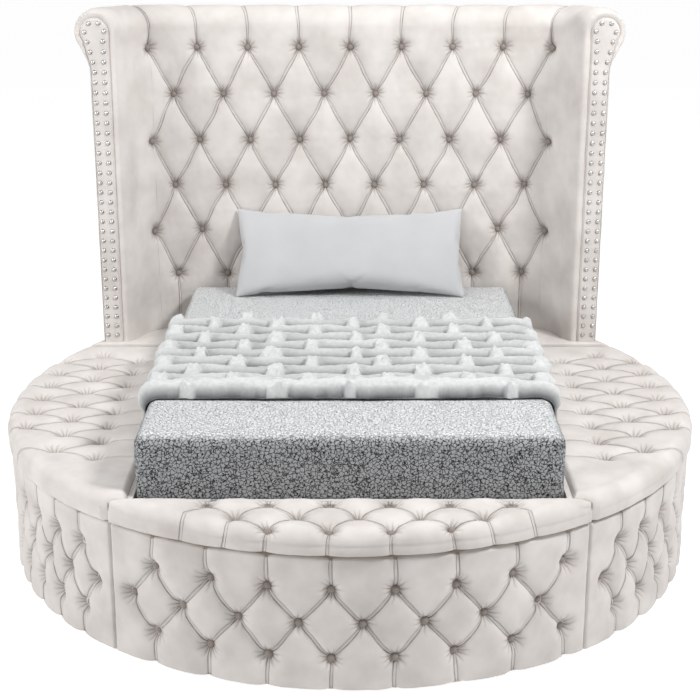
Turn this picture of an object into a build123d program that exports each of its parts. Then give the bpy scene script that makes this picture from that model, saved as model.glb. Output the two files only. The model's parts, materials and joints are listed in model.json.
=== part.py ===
"""Round upholstered storage bed with a winged, tufted headboard.

The Z axis stands in the centre of the round base, on the floor. The foot of
the bed is towards -Y, the headboard towards +Y, and the right side is +X.
"""

import os
from math import atan2, cos, degrees, radians, sin, sqrt, tan

from build123d import *

os.makedirs("parts", exist_ok=True)

# Mattress, which the whole bed is laid out around
mattress_width = 1400
mattress_length = 1905
mattress_thickness = 300
mattress_top = 763
mattress_setback = 57.5  # from the mattress's middle to the base's centre, towards the headboard
mattress_corner = 60
mattress_edge = 35

# Sheet goods and running gaps
board = 18
bent_board = 12
wall_gap = 5  # mattress to the walls beside it
seat_gap = 0.3  # between pieces that rest on or against each other
seam_gap = 8  # between lids, and between a lid and the fixed corner

# Round base, whose curve passes just outside the foot corners of the mattress's walls
corner_cover = 4
face_padding = 34
face_tuft_depth = 22
face_foot = 6  # lower edge of the faces above the floor
shadow_gap = 8  # between the faces and the lids above them
glide_height = 8
glide_radius = 20
seat_drop = 195  # from the mattress's top to the lids' tops
lid_thickness = 88
lid_overhang = 10  # the lids' rim stands this far past the faces
rim_padding = 25  # round the edges of the lid boards
top_padding = 20  # over the hinge battens
lid_edge_round = 44
chamfer_land = 0.5  # left of the top padding under the chamfer along the hinges
batten_width = 25
corner_toe = 8  # blunt end where a straight wall meets the curve
corner_step = 0.5  # fineness in finding where a corner's curve and wing line meet

# Tufts on the round faces
foot_tuft_turn = 8.95  # degrees between neighbouring buttons of a row
foot_tuft_shift = 1.8
side_tuft_turn = 6.6
side_tuft_lead = 4.1  # from the seam to the middle row's first button
face_row_low = 120
face_row_drop = 118  # from the faces' top to their highest row
face_row_count = 3

# Tufts on the lids, where each groove runs from the first row to the last
foot_lid_first_row = 33  # from the lid's straight edge
foot_lid_last_row = 45  # from the lid's rim
foot_lid_smooth_end = 309
foot_lid_shift = 30
foot_lid_columns = 6
side_lid_first_column = 158  # from the lid's straight edge
side_lid_last_column = 120  # from the lid's rim
side_lid_smooth_foot = 357
side_lid_smooth_head = 216
side_lid_rows = 8
lid_row_count = 3
lid_groove_width = 46
lid_groove_depth = 15
lid_smooth_rim = 45
lid_button_rim = 24  # the least from a button's middle to the rim

# Covered buttons
button_radius = 15
button_height = 9
button_sides = 6
button_sink = 4  # from the bottom of a tuft to the button's back
button_room = 1.5  # round a button in its socket
button_top_share = 0.6

# Hinges
knuckle_radius = 4
pin_radius = 2
pin_clearance = 0.05
leaf_thickness = 1.8
leaf_gap = 0.4
leaf_height = 44
hinge_length = 84
hinge_end_share = 0.34  # each outer knuckle's share of the hinge's length
knuckle_gap = 0.5
hinge_inset = 300  # from the ends of a lid's hinged edge

# Bed base
slat_thickness = 20
slat_width = 75
slat_count = 13
ledger_width = 30
ledger_height = 40
rail_width = 50
rail_height = 70
leg_width = 44
leg_inset = 310  # from the mattress's foot to the first leg
glide_inset = 73  # from the curved walls to the glides under the benches
glide_turns = (22, 60, 90, 118)
plinth_glide_inset = 117

# Headboard
head_gap = 2  # mattress to the crown of the centre panel
panel_padding = 58
panel_depth = 111.6  # from the crown to the back
panel_tuft_depth = 30
panel_columns = 4  # button pitches from the middle to a fold
panel_first_row = 49  # above the mattress
panel_last_row = 85.5  # below the middle of the roll
panel_row_count = 6
roll_height = 1885
roll_radius = 90
roll_padding = 30
roll_core_radius = 50
roll_angles = (0, 45, 90, 135, 180, 225)  # degrees round the roll from its front
stud_width = 60
low_rail_drop = 38  # from the lids' tops to the lowest cross rail
top_rail_drop = 155  # from the middle of the roll to the highest cross rail
back_cover = 4
wing_turn = 19  # degrees the wings are splayed
wing_reach = 237  # how far the wings stand out in front of the centre panel
wing_inset = 49  # from the tufted faces' curve to the wings' front corners
facing_thickness = 12
wing_padding = 34
wing_cover = 8

# Pillow and throw
pillow_width = 940
pillow_height = 408
pillow_thickness = 150
pillow_tilt = 58
throw_inset = 355  # from the mattress's foot
throw_length = 895
throw_thickness = 12
throw_rib = 8
throw_rib_count = 20
throw_drop = 160

# Shares of the tuft depth, by quarter pitches away from the nearest button
row_shares = (1.0, 0.35, 0.0)
mid_shares = (0.12, 0.55, 0.12)
pleat_shares = (0.5, 0.15, 0.0)
hem_shares = (0.75, 0.5, 0.4)
end_share = 0.5
groove_overrun_share = 0.2
fold_share = 0.15
end_clear_share = 0.125  # of a pitch, kept free of creases at a face's ends
button_clear_share = 0.2  # of a pitch, kept free of buttons at a face's ends
knuckle_lift_share = 1.2  # of a knuckle's radius, from the walls up to the hinge line
stud_shares = (-1, -0.5, 0, 0.5, 1)  # places of the studs across the headboard
neighbour_share = 1.2  # of a pitch, the furthest that two buttons joined by a pleat lie apart

# Layout in plan, worked out from the mattress
half_mattress = mattress_width / 2
mattress_foot = mattress_length / 2 + mattress_setback
joint_gap = 2 * leaf_thickness + leaf_gap
side_wall = half_mattress + wall_gap
side_hinge_face = side_wall + board
side_hinge = side_hinge_face + joint_gap / 2
side_lid_edge = side_hinge_face + joint_gap
foot_wall = mattress_foot + wall_gap
foot_hinge_face = foot_wall + board
foot_hinge = foot_hinge_face + joint_gap / 2
foot_lid_edge = foot_hinge_face + joint_gap
side_lid_foot = foot_lid_edge - seam_gap
wall_radius = sqrt(side_hinge_face**2 + foot_hinge_face**2) + corner_cover
wall_inner_radius = wall_radius - bent_board
face_radius = wall_radius + face_padding
lid_radius = face_radius + lid_overhang
lid_board_radius = lid_radius - rim_padding
foot_wall_half = sqrt((wall_inner_radius - seat_gap) ** 2 - foot_hinge_face**2)

# Headboard and wings in plan
crown = mattress_length - mattress_foot + head_gap
board_front = crown + panel_padding
board_back = board_front + board
panel_back = crown + panel_depth
wing_front = crown - wing_reach
wing_slope = tan(radians(wing_turn))
wing_stretch = 1 / cos(radians(wing_turn))
mitre_slope = tan(radians((90 - wing_turn) / 2))
wing_outer = sqrt(face_radius**2 - wing_front**2) - wing_inset
wing_inner = wing_outer - panel_depth * wing_stretch
fold_half_width = wing_inner - wing_reach * wing_slope
roll_depth = roll_radius / wing_stretch
end_panel = wing_front - wall_gap - board
side_lid_head = end_panel - seam_gap
plinth_front = end_panel + board

# Heights
seat_height = mattress_top - seat_drop
slat_top = mattress_top - mattress_thickness
lid_underside = seat_height - lid_thickness
wall_top = lid_underside - seat_gap
hinge_wall_top = seat_height - top_padding
hinge_height = hinge_wall_top + knuckle_lift_share * knuckle_radius
hinge_chamfer = top_padding - chamfer_land
face_top = lid_underside - shadow_gap
wing_foot = seat_height + seat_gap

# Tufts and buttons
face_row_spacing = (face_top - face_row_low - face_row_drop) / (face_row_count - 1)
face_rows = [face_row_low + face_row_spacing * row for row in range(face_row_count)]
foot_lid_half = sqrt(lid_radius**2 - foot_lid_edge**2)
foot_lid_pitch = 2 * (foot_lid_half - foot_lid_smooth_end) / (foot_lid_columns - 1)
foot_lid_tufted = lid_radius - foot_lid_edge - foot_lid_first_row - foot_lid_last_row
foot_lid_row_spacing = foot_lid_tufted / (lid_row_count - 1)
side_lid_tufted = side_lid_foot + side_lid_head - side_lid_smooth_foot - side_lid_smooth_head
side_lid_pitch = side_lid_tufted / (side_lid_rows - 1)
side_lid_tufted_width = lid_radius - side_lid_edge - side_lid_first_column - side_lid_last_column
side_lid_column_spacing = side_lid_tufted_width / (lid_row_count - 1)
panel_pitch = fold_half_width / panel_columns
panel_row_low = mattress_top + panel_first_row
panel_row_spacing = (roll_height - panel_last_row - panel_row_low) / (panel_row_count - 1)
panel_rows = [panel_row_low + panel_row_spacing * row for row in range(panel_row_count)]

# Places of hinges, legs, glides and cross rails
side_hinge_places = (-side_lid_foot + hinge_inset, side_lid_head - hinge_inset)
foot_hinge_places = (-foot_wall_half + hinge_inset, foot_wall_half - hinge_inset)
leg_reach = mattress_foot - leg_inset
leg_places = (-leg_reach, 0, leg_reach)
glide_circle = wall_inner_radius - glide_inset
plinth_glide = (side_hinge_face + plinth_glide_inset, (plinth_front + panel_back) / 2)
low_rail = seat_height - low_rail_drop
top_rail = roll_height - top_rail_drop
rail_places = (low_rail, (low_rail + top_rail) / 2, top_rail)


def save(piece, name):
    """Label a finished piece and write it under its name."""
    piece.part.label = name
    export_step(piece.part, f"parts/{name}.step")


def save_pair(piece, name):
    """Write a right-hand piece, and its mirror image for the left."""
    save(piece, f"right_{name}")
    with BuildPart() as left:
        add(piece.part)
        mirror(about=Plane.YZ, mode=Mode.REPLACE)
    save(left, f"left_{name}")


def on_circle(radius, turn):
    """The plan point at a turn in degrees from the foot, positive to the right."""
    return (radius * sin(radians(turn)), -radius * cos(radians(turn)))


def beside(radius, forward):
    """How far from the bed's middle line a circle lies, so far along it."""
    return sqrt(radius**2 - forward**2)


def turn_at(radius, forward):
    """The turn in degrees at which a circle reaches a place along the bed."""
    return degrees(atan2(beside(radius, forward), -forward))


def block(low, high, mode=Mode.ADD):
    """A square-edged block between two opposite corners."""
    size = [end - start for start, end in zip(low, high)]
    with Locations([tuple(start + length / 2 for start, length in zip(low, size))]):
        Box(*size, mode=mode)


def segment(radius, chord):
    """Outline of the round base beyond a chord across its foot end."""
    half = beside(radius, chord)
    with BuildLine() as outline:
        ThreePointArc((-half, -chord), (0, -radius), (half, -chord))
        Line((half, -chord), (-half, -chord))
    make_face(outline.edges())


def strip(inner, radius, foot, head):
    """Outline between a straight inner edge and the base's curve."""
    foot_corner = (beside(radius, foot), foot)
    head_corner = (beside(radius, head), head)
    middle = on_circle(radius, (turn_at(radius, foot) + turn_at(radius, head)) / 2)
    with BuildLine() as outline:
        ThreePointArc(foot_corner, middle, head_corner)
        Polyline(head_corner, (inner, head), (inner, foot), foot_corner)
    make_face(outline.edges())


def band(inner_radius, outer_radius, start, end):
    """Outline of a curved wall between two turns."""
    middle = (start + end) / 2
    with BuildLine() as outline:
        ThreePointArc(*[on_circle(outer_radius, turn) for turn in (start, middle, end)])
        Line(on_circle(outer_radius, end), on_circle(inner_radius, end))
        ThreePointArc(*[on_circle(inner_radius, turn) for turn in (end, middle, start)])
        Line(on_circle(inner_radius, start), on_circle(outer_radius, start))
    make_face(outline.edges())


def tuft_share(shares, quarter, phase):
    """Depth share at a quarter pitch, where phase 2 puts the buttons between whole pitches."""
    return shares[abs((quarter - phase + 2) % 4 - 2)]


def face_stations():
    """Heights, depth shares and phases of a face's sections, from its hem to its top."""
    stations = [(face_foot, hem_shares, 2), ((face_foot + face_rows[0]) / 2, pleat_shares, 2)]
    for index, row in enumerate(face_rows):
        phase = 2 * ((index + 1) % 2)
        stations.append((row, row_shares, phase))
        if row != face_rows[-1]:
            stations.append((row + face_row_spacing / 2, mid_shares, phase))
    stations.append(((face_rows[-1] + face_top) / 2, pleat_shares, 2))
    stations.append((face_top, hem_shares, 2))
    return stations


def tufted_face(start, end, pitch, shift):
    """Padded face of a curved wall, drawn in at its buttons and along its pleats."""
    first = int(4 * (start - shift) / pitch) - 1
    last = int(4 * (end - shift) / pitch) + 1
    turns = [(quarter, shift + quarter * pitch / 4) for quarter in range(first, last + 1)]
    clear = end_clear_share * pitch
    inside = [(quarter, turn) for quarter, turn in turns if start + clear < turn < end - clear]
    back_radius = wall_radius + seat_gap
    end_radius = face_radius - end_share * face_tuft_depth
    sections = []
    for height, shares, phase in face_stations():
        points = [on_circle(end_radius, start)]
        for quarter, turn in inside:
            points.append(on_circle(face_radius - face_tuft_depth * tuft_share(shares, quarter, phase), turn))
        points.append(on_circle(end_radius, end))
        with BuildSketch(Plane.XY.offset(height)) as section:
            with BuildLine():
                Polyline(*points)
                Line(points[-1], on_circle(back_radius, end))
                ThreePointArc(*[on_circle(back_radius, turn) for turn in (end, (start + end) / 2, start)])
                Line(on_circle(back_radius, start), points[0])
            make_face()
        sections.append(section.sketch)
    loft(sections, ruled=True)


def face_button_planes(start, end, pitch, shift):
    """Planes of a face's buttons, each looking straight out of the base."""
    planes = []
    clear = button_clear_share * pitch
    for index, row in enumerate(face_rows):
        between = (index + 1) % 2 / 2
        first = int((start - shift) / pitch) - 1
        last = int((end - shift) / pitch) + 1
        for column in range(first, last + 1):
            turn = shift + (column + between) * pitch
            if start + clear < turn < end - clear:
                x, y = on_circle(face_radius - face_tuft_depth - button_sink, turn)
                facing = (sin(radians(turn)), -cos(radians(turn)), 0)
                planes.append(Plane(origin=(x, y, row), x_dir=(0, 0, 1), z_dir=facing))
    return planes


# One covered button, and the hollow that a button sits in
with BuildPart() as button:
    with BuildSketch():
        RegularPolygon(button_radius, button_sides)
    with BuildSketch(Plane.XY.offset(button_height)):
        RegularPolygon(button_radius * button_top_share, button_sides)
    loft()

with BuildPart() as socket:
    with BuildSketch(Plane.XY.offset(-seat_gap)):
        RegularPolygon(button_radius + button_room, button_sides)
    extrude(amount=face_padding)


def button_set(planes):
    """A covered button on each plane."""
    with Locations(*planes):
        add(button.part)


def button_sockets(planes):
    """The hollow in the padding behind and round each button."""
    with Locations(*planes):
        add(socket.part, mode=Mode.SUBTRACT)


def groove(start, end):
    """A V-shaped pleat for a lid's top, from one plan point to another."""
    run = Vector(*end) - Vector(*start)
    plane = Plane(origin=(*start, seat_height), x_dir=Vector(0, 0, 1).cross(run), z_dir=run)
    side = lid_groove_width / 2 * (1 + groove_overrun_share)
    rise = lid_groove_depth * groove_overrun_share
    with BuildSketch(plane) as pleat:
        Polygon((-side, rise), (0, -lid_groove_depth), (side, rise))
    return extrude(pleat.sketch, amount=run.length, mode=Mode.PRIVATE)


def past_rim(point):
    """The plan point past the lids' rim beyond a button."""
    turn = degrees(atan2(point[0], -point[1]))
    return on_circle(lid_radius + rim_padding, turn)


# Bench carcasses: straight inner walls, bent outer walls, floors and end panels
with BuildPart() as inner_wall:
    block((side_wall, -foot_wall, glide_height), (side_hinge_face, board_front, hinge_wall_top))
save_pair(inner_wall, "inner_wall")

with BuildPart() as foot_inner_wall:
    block((-foot_wall_half, -foot_hinge_face, glide_height), (foot_wall_half, -foot_wall, hinge_wall_top))
save(foot_inner_wall, "foot_inner_wall")

with BuildPart() as side_floor:
    toe = -beside(wall_inner_radius - seat_gap, side_hinge_face + corner_toe)
    with BuildSketch(Plane.XY.offset(glide_height)):
        strip(side_hinge_face, wall_inner_radius - seat_gap, toe, end_panel)
    extrude(amount=board)
save_pair(side_floor, "bench_floor")

with BuildPart() as foot_floor:
    with BuildSketch(Plane.XY.offset(glide_height)):
        segment(wall_inner_radius - seat_gap, foot_hinge_face)
    extrude(amount=board)
save(foot_floor, "foot_bench_floor")

seam_turn = turn_at(wall_radius, -foot_hinge)
wall_end_turn = turn_at(wall_radius, plinth_front)
with BuildPart() as side_outer_wall:
    with BuildSketch(Plane.XY.offset(glide_height)):
        band(wall_inner_radius, wall_radius, seam_turn, wall_end_turn)
    extrude(amount=wall_top - glide_height)
save_pair(side_outer_wall, "outer_wall")

with BuildPart() as foot_outer_wall:
    with BuildSketch(Plane.XY.offset(glide_height)):
        band(wall_inner_radius, wall_radius, -seam_turn, seam_turn)
    extrude(amount=wall_top - glide_height)
save(foot_outer_wall, "foot_outer_wall")

with BuildPart() as end_wall:
    reach = beside(wall_inner_radius - seat_gap, plinth_front)
    block((side_hinge_face, end_panel, glide_height), (reach, plinth_front, wall_top))
save_pair(end_wall, "end_wall")


# Rear corners, which carry the wings
def wing_line(forward, inset):
    """Where a wing's outer face lies, so far along the bed, less an inset."""
    return wing_outer - (forward - wing_front) * wing_slope - inset * wing_stretch


def corner_block(radius, inner, foot, inset):
    """Outline of a rear corner: the base's curve, then the wing's own line."""
    meet = foot
    while beside(radius, meet) > wing_line(meet, inset):
        meet += corner_step
    middle = (turn_at(radius, foot) + turn_at(radius, meet)) / 2
    with BuildLine() as outline:
        ThreePointArc((beside(radius, foot), foot), on_circle(radius, middle), (beside(radius, meet), meet))
        Line((beside(radius, meet), meet), (wing_line(panel_back, inset), panel_back))
        Polyline((wing_line(panel_back, inset), panel_back), (inner, panel_back), (inner, foot))
        Line((inner, foot), (beside(radius, foot), foot))
    make_face(outline.edges())
    return meet


with BuildPart() as plinth:
    with BuildSketch(Plane.XY.offset(glide_height)):
        plinth_meet = corner_block(wall_radius, side_hinge_face, plinth_front, face_padding)
    extrude(amount=wall_top - glide_height)
save_pair(plinth, "rear_plinth")

with BuildPart() as corner_pad:
    with BuildSketch(Plane.XY.offset(lid_underside)):
        corner_block(lid_radius, side_lid_edge, end_panel, -lid_overhang)
    extrude(amount=lid_thickness)
    rim = corner_pad.edges().group_by(Axis.Z)[-1].filter_by(GeomType.CIRCLE)
    fillet(rim, lid_edge_round)
save_pair(corner_pad, "rear_corner_pad")

# Tufted faces and their buttons
face_seam_turn = turn_at(face_radius, -foot_hinge)
side_tuft_shift = face_seam_turn + side_tuft_lead
side_face = (face_seam_turn, turn_at(face_radius, plinth_meet), side_tuft_turn, side_tuft_shift)
foot_face = (-face_seam_turn, face_seam_turn, foot_tuft_turn, foot_tuft_shift)
for name, layout, saver in (("face_pad", side_face, save_pair), ("foot_face_pad", foot_face, save)):
    planes = face_button_planes(*layout)
    with BuildPart() as face:
        tufted_face(*layout)
        button_sockets(planes)
    saver(face, name)
    with BuildPart() as face_buttons:
        button_set(planes)
    saver(face_buttons, name.replace("pad", "buttons"))

with BuildPart() as plinth_face:
    with BuildSketch(Plane.XY.offset(face_foot)):
        outer_start = (wing_line(plinth_meet, 0), plinth_meet)
        outer_end = (wing_line(panel_back, 0), panel_back)
        inner_end = (wing_line(panel_back, face_padding) + seat_gap, panel_back)
        inner_start = (wing_line(plinth_meet, face_padding) + seat_gap, plinth_meet)
        Polygon(inner_start, outer_start, outer_end, inner_end)
    extrude(amount=face_top - face_foot)
save_pair(plinth_face, "plinth_pad")


# Lids: boards with their hinge battens, tufted pads and covered buttons
def lid_padding(columns, pitch, board_part):
    """Take the board, the pleats and the button hollows out of a lid's plain pad."""
    add(board_part, mode=Mode.SUBTRACT)
    pleats = []
    for near, far in zip(columns, columns[1:]):
        for place in near:
            for other in far:
                if (Vector(*other) - Vector(*place)).length < neighbour_share * pitch:
                    pleats.append(groove(place, other))
    pleats += [groove(place, past_rim(place)) for place in columns[-1]]
    add(pleats, mode=Mode.SUBTRACT)
    button_sockets([Plane(origin=(*place, lid_button_height)) for column in columns for place in column])


lid_button_height = seat_height - lid_groove_depth - button_sink
foot_lid_rows = []
for row in range(lid_row_count):
    count = foot_lid_columns - row
    places = [foot_lid_shift + (column - (count - 1) / 2) * foot_lid_pitch for column in range(count)]
    forward = foot_lid_edge + foot_lid_first_row + row * foot_lid_row_spacing
    furthest = lid_radius - lid_button_rim
    foot_lid_rows.append([(across, -min(forward, beside(furthest, across))) for across in places])

side_lid_columns = []
for column in range(lid_row_count):
    across = side_lid_edge + side_lid_first_column + column * side_lid_column_spacing
    begin = side_lid_smooth_foot - side_lid_foot + column % 2 * side_lid_pitch / 2
    places = [(across, begin + row * side_lid_pitch) for row in range(side_lid_rows)]
    tufted_radius = lid_radius - lid_smooth_rim
    side_lid_columns.append([place for place in places if Vector(*place).length < tufted_radius])

with BuildPart() as foot_lid_board:
    with BuildSketch(Plane.XY.offset(lid_underside)):
        segment(lid_board_radius, foot_lid_edge)
    extrude(amount=board)
    batten_half = beside(lid_board_radius, foot_lid_edge + batten_width)
    batten_low = (-batten_half, -foot_lid_edge - batten_width, lid_underside + board)
    block(batten_low, (batten_half, -foot_lid_edge, hinge_wall_top))
save(foot_lid_board, "foot_lid_board")

with BuildPart() as foot_lid_pad:
    with BuildSketch(Plane.XY.offset(lid_underside)):
        segment(lid_radius, foot_lid_edge)
    extrude(amount=lid_thickness)
    upper = foot_lid_pad.edges().group_by(Axis.Z)[-1]
    fillet(upper.filter_by(GeomType.CIRCLE), lid_edge_round)
    chamfer(foot_lid_pad.edges().group_by(Axis.Z)[-1].filter_by(GeomType.LINE), hinge_chamfer)
    lid_padding(foot_lid_rows, foot_lid_pitch, foot_lid_board.part)
save(foot_lid_pad, "foot_lid_pad")

with BuildPart() as foot_lid_buttons:
    button_set([Plane(origin=(*place, lid_button_height)) for row in foot_lid_rows for place in row])
save(foot_lid_buttons, "foot_lid_buttons")

with BuildPart() as side_lid_board:
    with BuildSketch(Plane.XY.offset(lid_underside)):
        strip(side_lid_edge, lid_board_radius, -side_lid_foot + rim_padding, side_lid_head - rim_padding)
    extrude(amount=board)
    batten_low = (side_lid_edge, -side_lid_foot + rim_padding, lid_underside + board)
    block(batten_low, (side_lid_edge + batten_width, side_lid_head - rim_padding, hinge_wall_top))
save_pair(side_lid_board, "lid_board")

with BuildPart() as side_lid_pad:
    with BuildSketch(Plane.XY.offset(lid_underside)):
        strip(side_lid_edge, lid_radius, -side_lid_foot, side_lid_head)
    extrude(amount=lid_thickness)
    upper = side_lid_pad.edges().group_by(Axis.Z)[-1]
    fillet(upper.filter_by(GeomType.CIRCLE), lid_edge_round)
    straight = side_lid_pad.edges().group_by(Axis.Z)[-1].filter_by(Axis.Y)
    chamfer(straight, hinge_chamfer)
    lid_padding(side_lid_columns, side_lid_pitch, side_lid_board.part)
save_pair(side_lid_pad, "lid_pad")

with BuildPart() as side_lid_buttons:
    button_set([Plane(origin=(*place, lid_button_height)) for column in side_lid_columns for place in column])
save_pair(side_lid_buttons, "lid_buttons")

# Butt hinges: one of each piece with its pin on the Y axis, then placed along the lids' edges
neck = hinge_height - hinge_wall_top
middle_knuckle = hinge_length * (1 - 2 * hinge_end_share) - 2 * knuckle_gap
end_knuckle = hinge_length * hinge_end_share
end_place = (hinge_length - end_knuckle) / 2


def knuckle_and_leaf(side, knuckles):
    """One leaf of a hinge with its knuckles, on the left (-1) or the right (1) of the joint."""
    inner, outer = sorted((side * leaf_gap / 2, side * (leaf_gap / 2 + leaf_thickness)))
    block((inner, -hinge_length / 2, -neck - leaf_height), (outer, hinge_length / 2, -neck))
    for place, length in knuckles:
        block((inner, place - length / 2, -neck), (outer, place + length / 2, 0))
        with BuildSketch(Plane.XZ.offset(-place - length / 2)) as ring:
            Circle(knuckle_radius)
        extrude(ring.sketch, amount=length)
    with BuildSketch(Plane.XZ.offset(-hinge_length / 2)) as bore:
        Circle(pin_radius + pin_clearance)
    extrude(bore.sketch, amount=hinge_length, mode=Mode.SUBTRACT)


with BuildPart() as fixed_leaf:
    knuckle_and_leaf(-1, [(-end_place, end_knuckle), (end_place, end_knuckle)])

with BuildPart() as lid_leaf:
    knuckle_and_leaf(1, [(0, middle_knuckle)])

with BuildPart() as pin:
    with BuildSketch(Plane.XZ.offset(-hinge_length / 2)):
        Circle(pin_radius)
    extrude(amount=hinge_length)

right_places = [Location((side_hinge, place, hinge_height)) for place in side_hinge_places]
left_places = [Location((-side_hinge, place, hinge_height), (0, 0, 180)) for place in side_hinge_places]
foot_places = [Location((place, -foot_hinge, hinge_height), (0, 0, -90)) for place in foot_hinge_places]
every_place = right_places + left_places + foot_places
hinge_sets = (
    ("hinge_fixed_leaves", fixed_leaf, every_place),
    ("hinge_pins", pin, every_place),
    ("right_lid_hinge_leaves", lid_leaf, right_places),
    ("left_lid_hinge_leaves", lid_leaf, left_places),
    ("foot_lid_hinge_leaves", lid_leaf, foot_places),
)
for name, piece, places in hinge_sets:
    with BuildPart() as hinge_set:
        with Locations(*places):
            add(piece.part)
    save(hinge_set, name)

# Bed base: ledgers, centre rail on legs, slats and glides
slat_foot = slat_top - slat_thickness
with BuildPart() as ledger:
    low = (side_wall - ledger_width, -foot_wall, slat_foot - ledger_height)
    block(low, (side_wall, board_front, slat_foot))
save_pair(ledger, "ledger")

with BuildPart() as centre_rail:
    low = (-rail_width / 2, -foot_wall, slat_foot - rail_height)
    block(low, (rail_width / 2, board_front, slat_foot))
save(centre_rail, "centre_rail")

with BuildPart() as rail_legs:
    for place in leg_places:
        low = (-leg_width / 2, place - leg_width / 2, glide_height)
        block(low, (leg_width / 2, place + leg_width / 2, slat_foot - rail_height))
save(rail_legs, "rail_legs")

bed_length = foot_wall + board_front
with BuildPart() as slats:
    slat_pitch = (bed_length - slat_width) / slat_count
    middle = (board_front - foot_wall) / 2
    with Locations((0, middle, slat_top - slat_thickness / 2)):
        with GridLocations(0, slat_pitch, 1, slat_count):
            Box(2 * side_wall - 2 * seat_gap, slat_width, slat_thickness)
save(slats, "slats")

with BuildPart() as glides:
    places = [(0, place) for place in leg_places] + [on_circle(glide_circle, 0)]
    places += [on_circle(glide_circle, side * turn) for turn in glide_turns for side in (-1, 1)]
    places += [(side * plinth_glide[0], plinth_glide[1]) for side in (-1, 1)]
    with BuildSketch():
        with Locations(*places):
            RegularPolygon(glide_radius, 2 * button_sides)
    extrude(amount=glide_height)
save(glides, "glides")

# Headboard: board, ladder frame, roll core, tufted panel, buttons and back
lower_half = side_hinge_face - seat_gap
board_half = fold_half_width + mitre_slope * panel_padding - seat_gap
board_top = roll_height - roll_core_radius - seat_gap
with BuildPart() as headboard_board:
    block((-lower_half, board_front, glide_height), (lower_half, board_back, wing_foot))
    block((-board_half, board_front, wing_foot), (board_half, board_back, board_top))
save(headboard_board, "headboard_board")

frame_back = panel_back - back_cover
frame_top = rail_places[-1] + stud_width
with BuildPart() as headboard_frame:
    for across in stud_shares:
        centre = across * (lower_half - stud_width / 2)
        low = (centre - stud_width / 2, board_back, glide_height)
        block(low, (centre + stud_width / 2, frame_back, frame_top))
    for place in rail_places:
        half = board_half if place > seat_height else lower_half
        block((-half, board_back, place), (half, frame_back, place + stud_width))
save(headboard_frame, "headboard_frame")

cover_half = fold_half_width + mitre_slope * (frame_back - crown) - seat_gap
with BuildPart() as headboard_back:
    block((-lower_half, frame_back, glide_height), (lower_half, panel_back, wing_foot))
    block((-cover_half, frame_back, wing_foot), (cover_half, panel_back, frame_top))
save(headboard_back, "headboard_back")

roll_middle = crown + roll_depth
core_half = fold_half_width + mitre_slope * (roll_depth - roll_core_radius) - seat_gap
with BuildPart() as roll_core:
    with BuildSketch(Plane.YZ.offset(-core_half)):
        with Locations((roll_middle, roll_height)):
            Circle(roll_core_radius)
    extrude(amount=2 * core_half)
save(roll_core, "headboard_roll_core")


def panel_section(origin, inward, depth, shares, phase):
    """Cross-section of the tufted panel, from fold to fold, at one place up its height."""
    axis = Vector(1, 0, 0).cross(Vector(0, *inward))
    plane = Plane(origin=(0, *origin), x_dir=(1, 0, 0), z_dir=axis)

    def corner(across, inset):
        forward = origin[0] + inset * inward[0] - crown
        return (across * (fold_half_width + mitre_slope * forward), inset)

    quarters = range(-4 * panel_columns + 1, 4 * panel_columns)
    tufts = [(q * panel_pitch / 4, panel_tuft_depth * tuft_share(shares, q, phase)) for q in quarters]
    edge = panel_tuft_depth * fold_share
    with BuildSketch(plane) as section:
        with BuildLine():
            Polyline(corner(-1, edge), *tufts, corner(1, edge))
            Polyline(corner(1, edge), corner(1, depth), corner(-1, depth), corner(-1, edge))
        make_face()
    return section.sketch


panel_sections = []
panel_depth_in = panel_padding - seat_gap
front_places = [(wing_foot, hem_shares, 2), ((wing_foot + panel_row_low) / 2, pleat_shares, 2)]
for index, row in enumerate(panel_rows):
    phase = 2 * ((index + 1) % 2)
    front_places.append((row, row_shares, phase))
    if row != panel_rows[-1]:
        front_places.append((row + panel_row_spacing / 2, mid_shares, phase))
for height, shares, phase in front_places:
    panel_sections.append(panel_section((crown, height), (1, 0), panel_depth_in, shares, phase))
for angle in roll_angles:
    side, up = roll_depth * cos(radians(angle)), roll_radius * sin(radians(angle))
    length = sqrt(side**2 + up**2)
    place = (roll_middle - side, roll_height + up)
    inward = (side / length, -up / length)
    panel_sections.append(panel_section(place, inward, roll_padding, pleat_shares, 0))

panel_button_planes = []
for index, row in enumerate(panel_rows):
    between = (index + 1) % 2 / 2
    for column in range(-panel_columns, panel_columns + 1):
        across = (column + between) * panel_pitch
        if abs(across) < fold_half_width:
            place = (across, crown + panel_tuft_depth + button_sink, row)
            panel_button_planes.append(Plane(origin=place, x_dir=(0, 0, 1), z_dir=(0, -1, 0)))

with BuildPart() as headboard_pad:
    loft(panel_sections, ruled=True)
    button_sockets(panel_button_planes)
save(headboard_pad, "headboard_pad")

with BuildPart() as headboard_buttons:
    button_set(panel_button_planes)
save(headboard_buttons, "headboard_buttons")


# Wings: a core, the padding wrapped round it, and a flat front facing, all with a scroll at the top
def wing_plane(behind):
    """The upright plane across a wing, so far behind its front."""
    origin = (-behind * wing_slope, wing_front + behind, 0)
    return Plane(origin=origin, x_dir=(1, 0, 0), z_dir=(0, -1, 0))


def scroll_outline(inset, cover, foot, mode=Mode.ADD):
    """Front outline of a wing: its upright faces and the scroll that rolls over the outer one."""
    middle = wing_inner + roll_radius
    radius = roll_radius - inset
    outer = wing_outer - cover
    drop = sqrt(radius**2 - (outer - middle) ** 2)
    crest = (middle, roll_height + radius)
    with BuildLine() as outline:
        Line((middle - radius, foot), (middle - radius, roll_height))
        RadiusArc((middle - radius, roll_height), crest, radius)
        ThreePointArc(crest, (middle + radius, roll_height), (outer, roll_height - drop))
        Polyline((outer, roll_height - drop), (outer, foot), (middle - radius, foot))
    make_face(outline.edges(), mode=mode)


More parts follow.
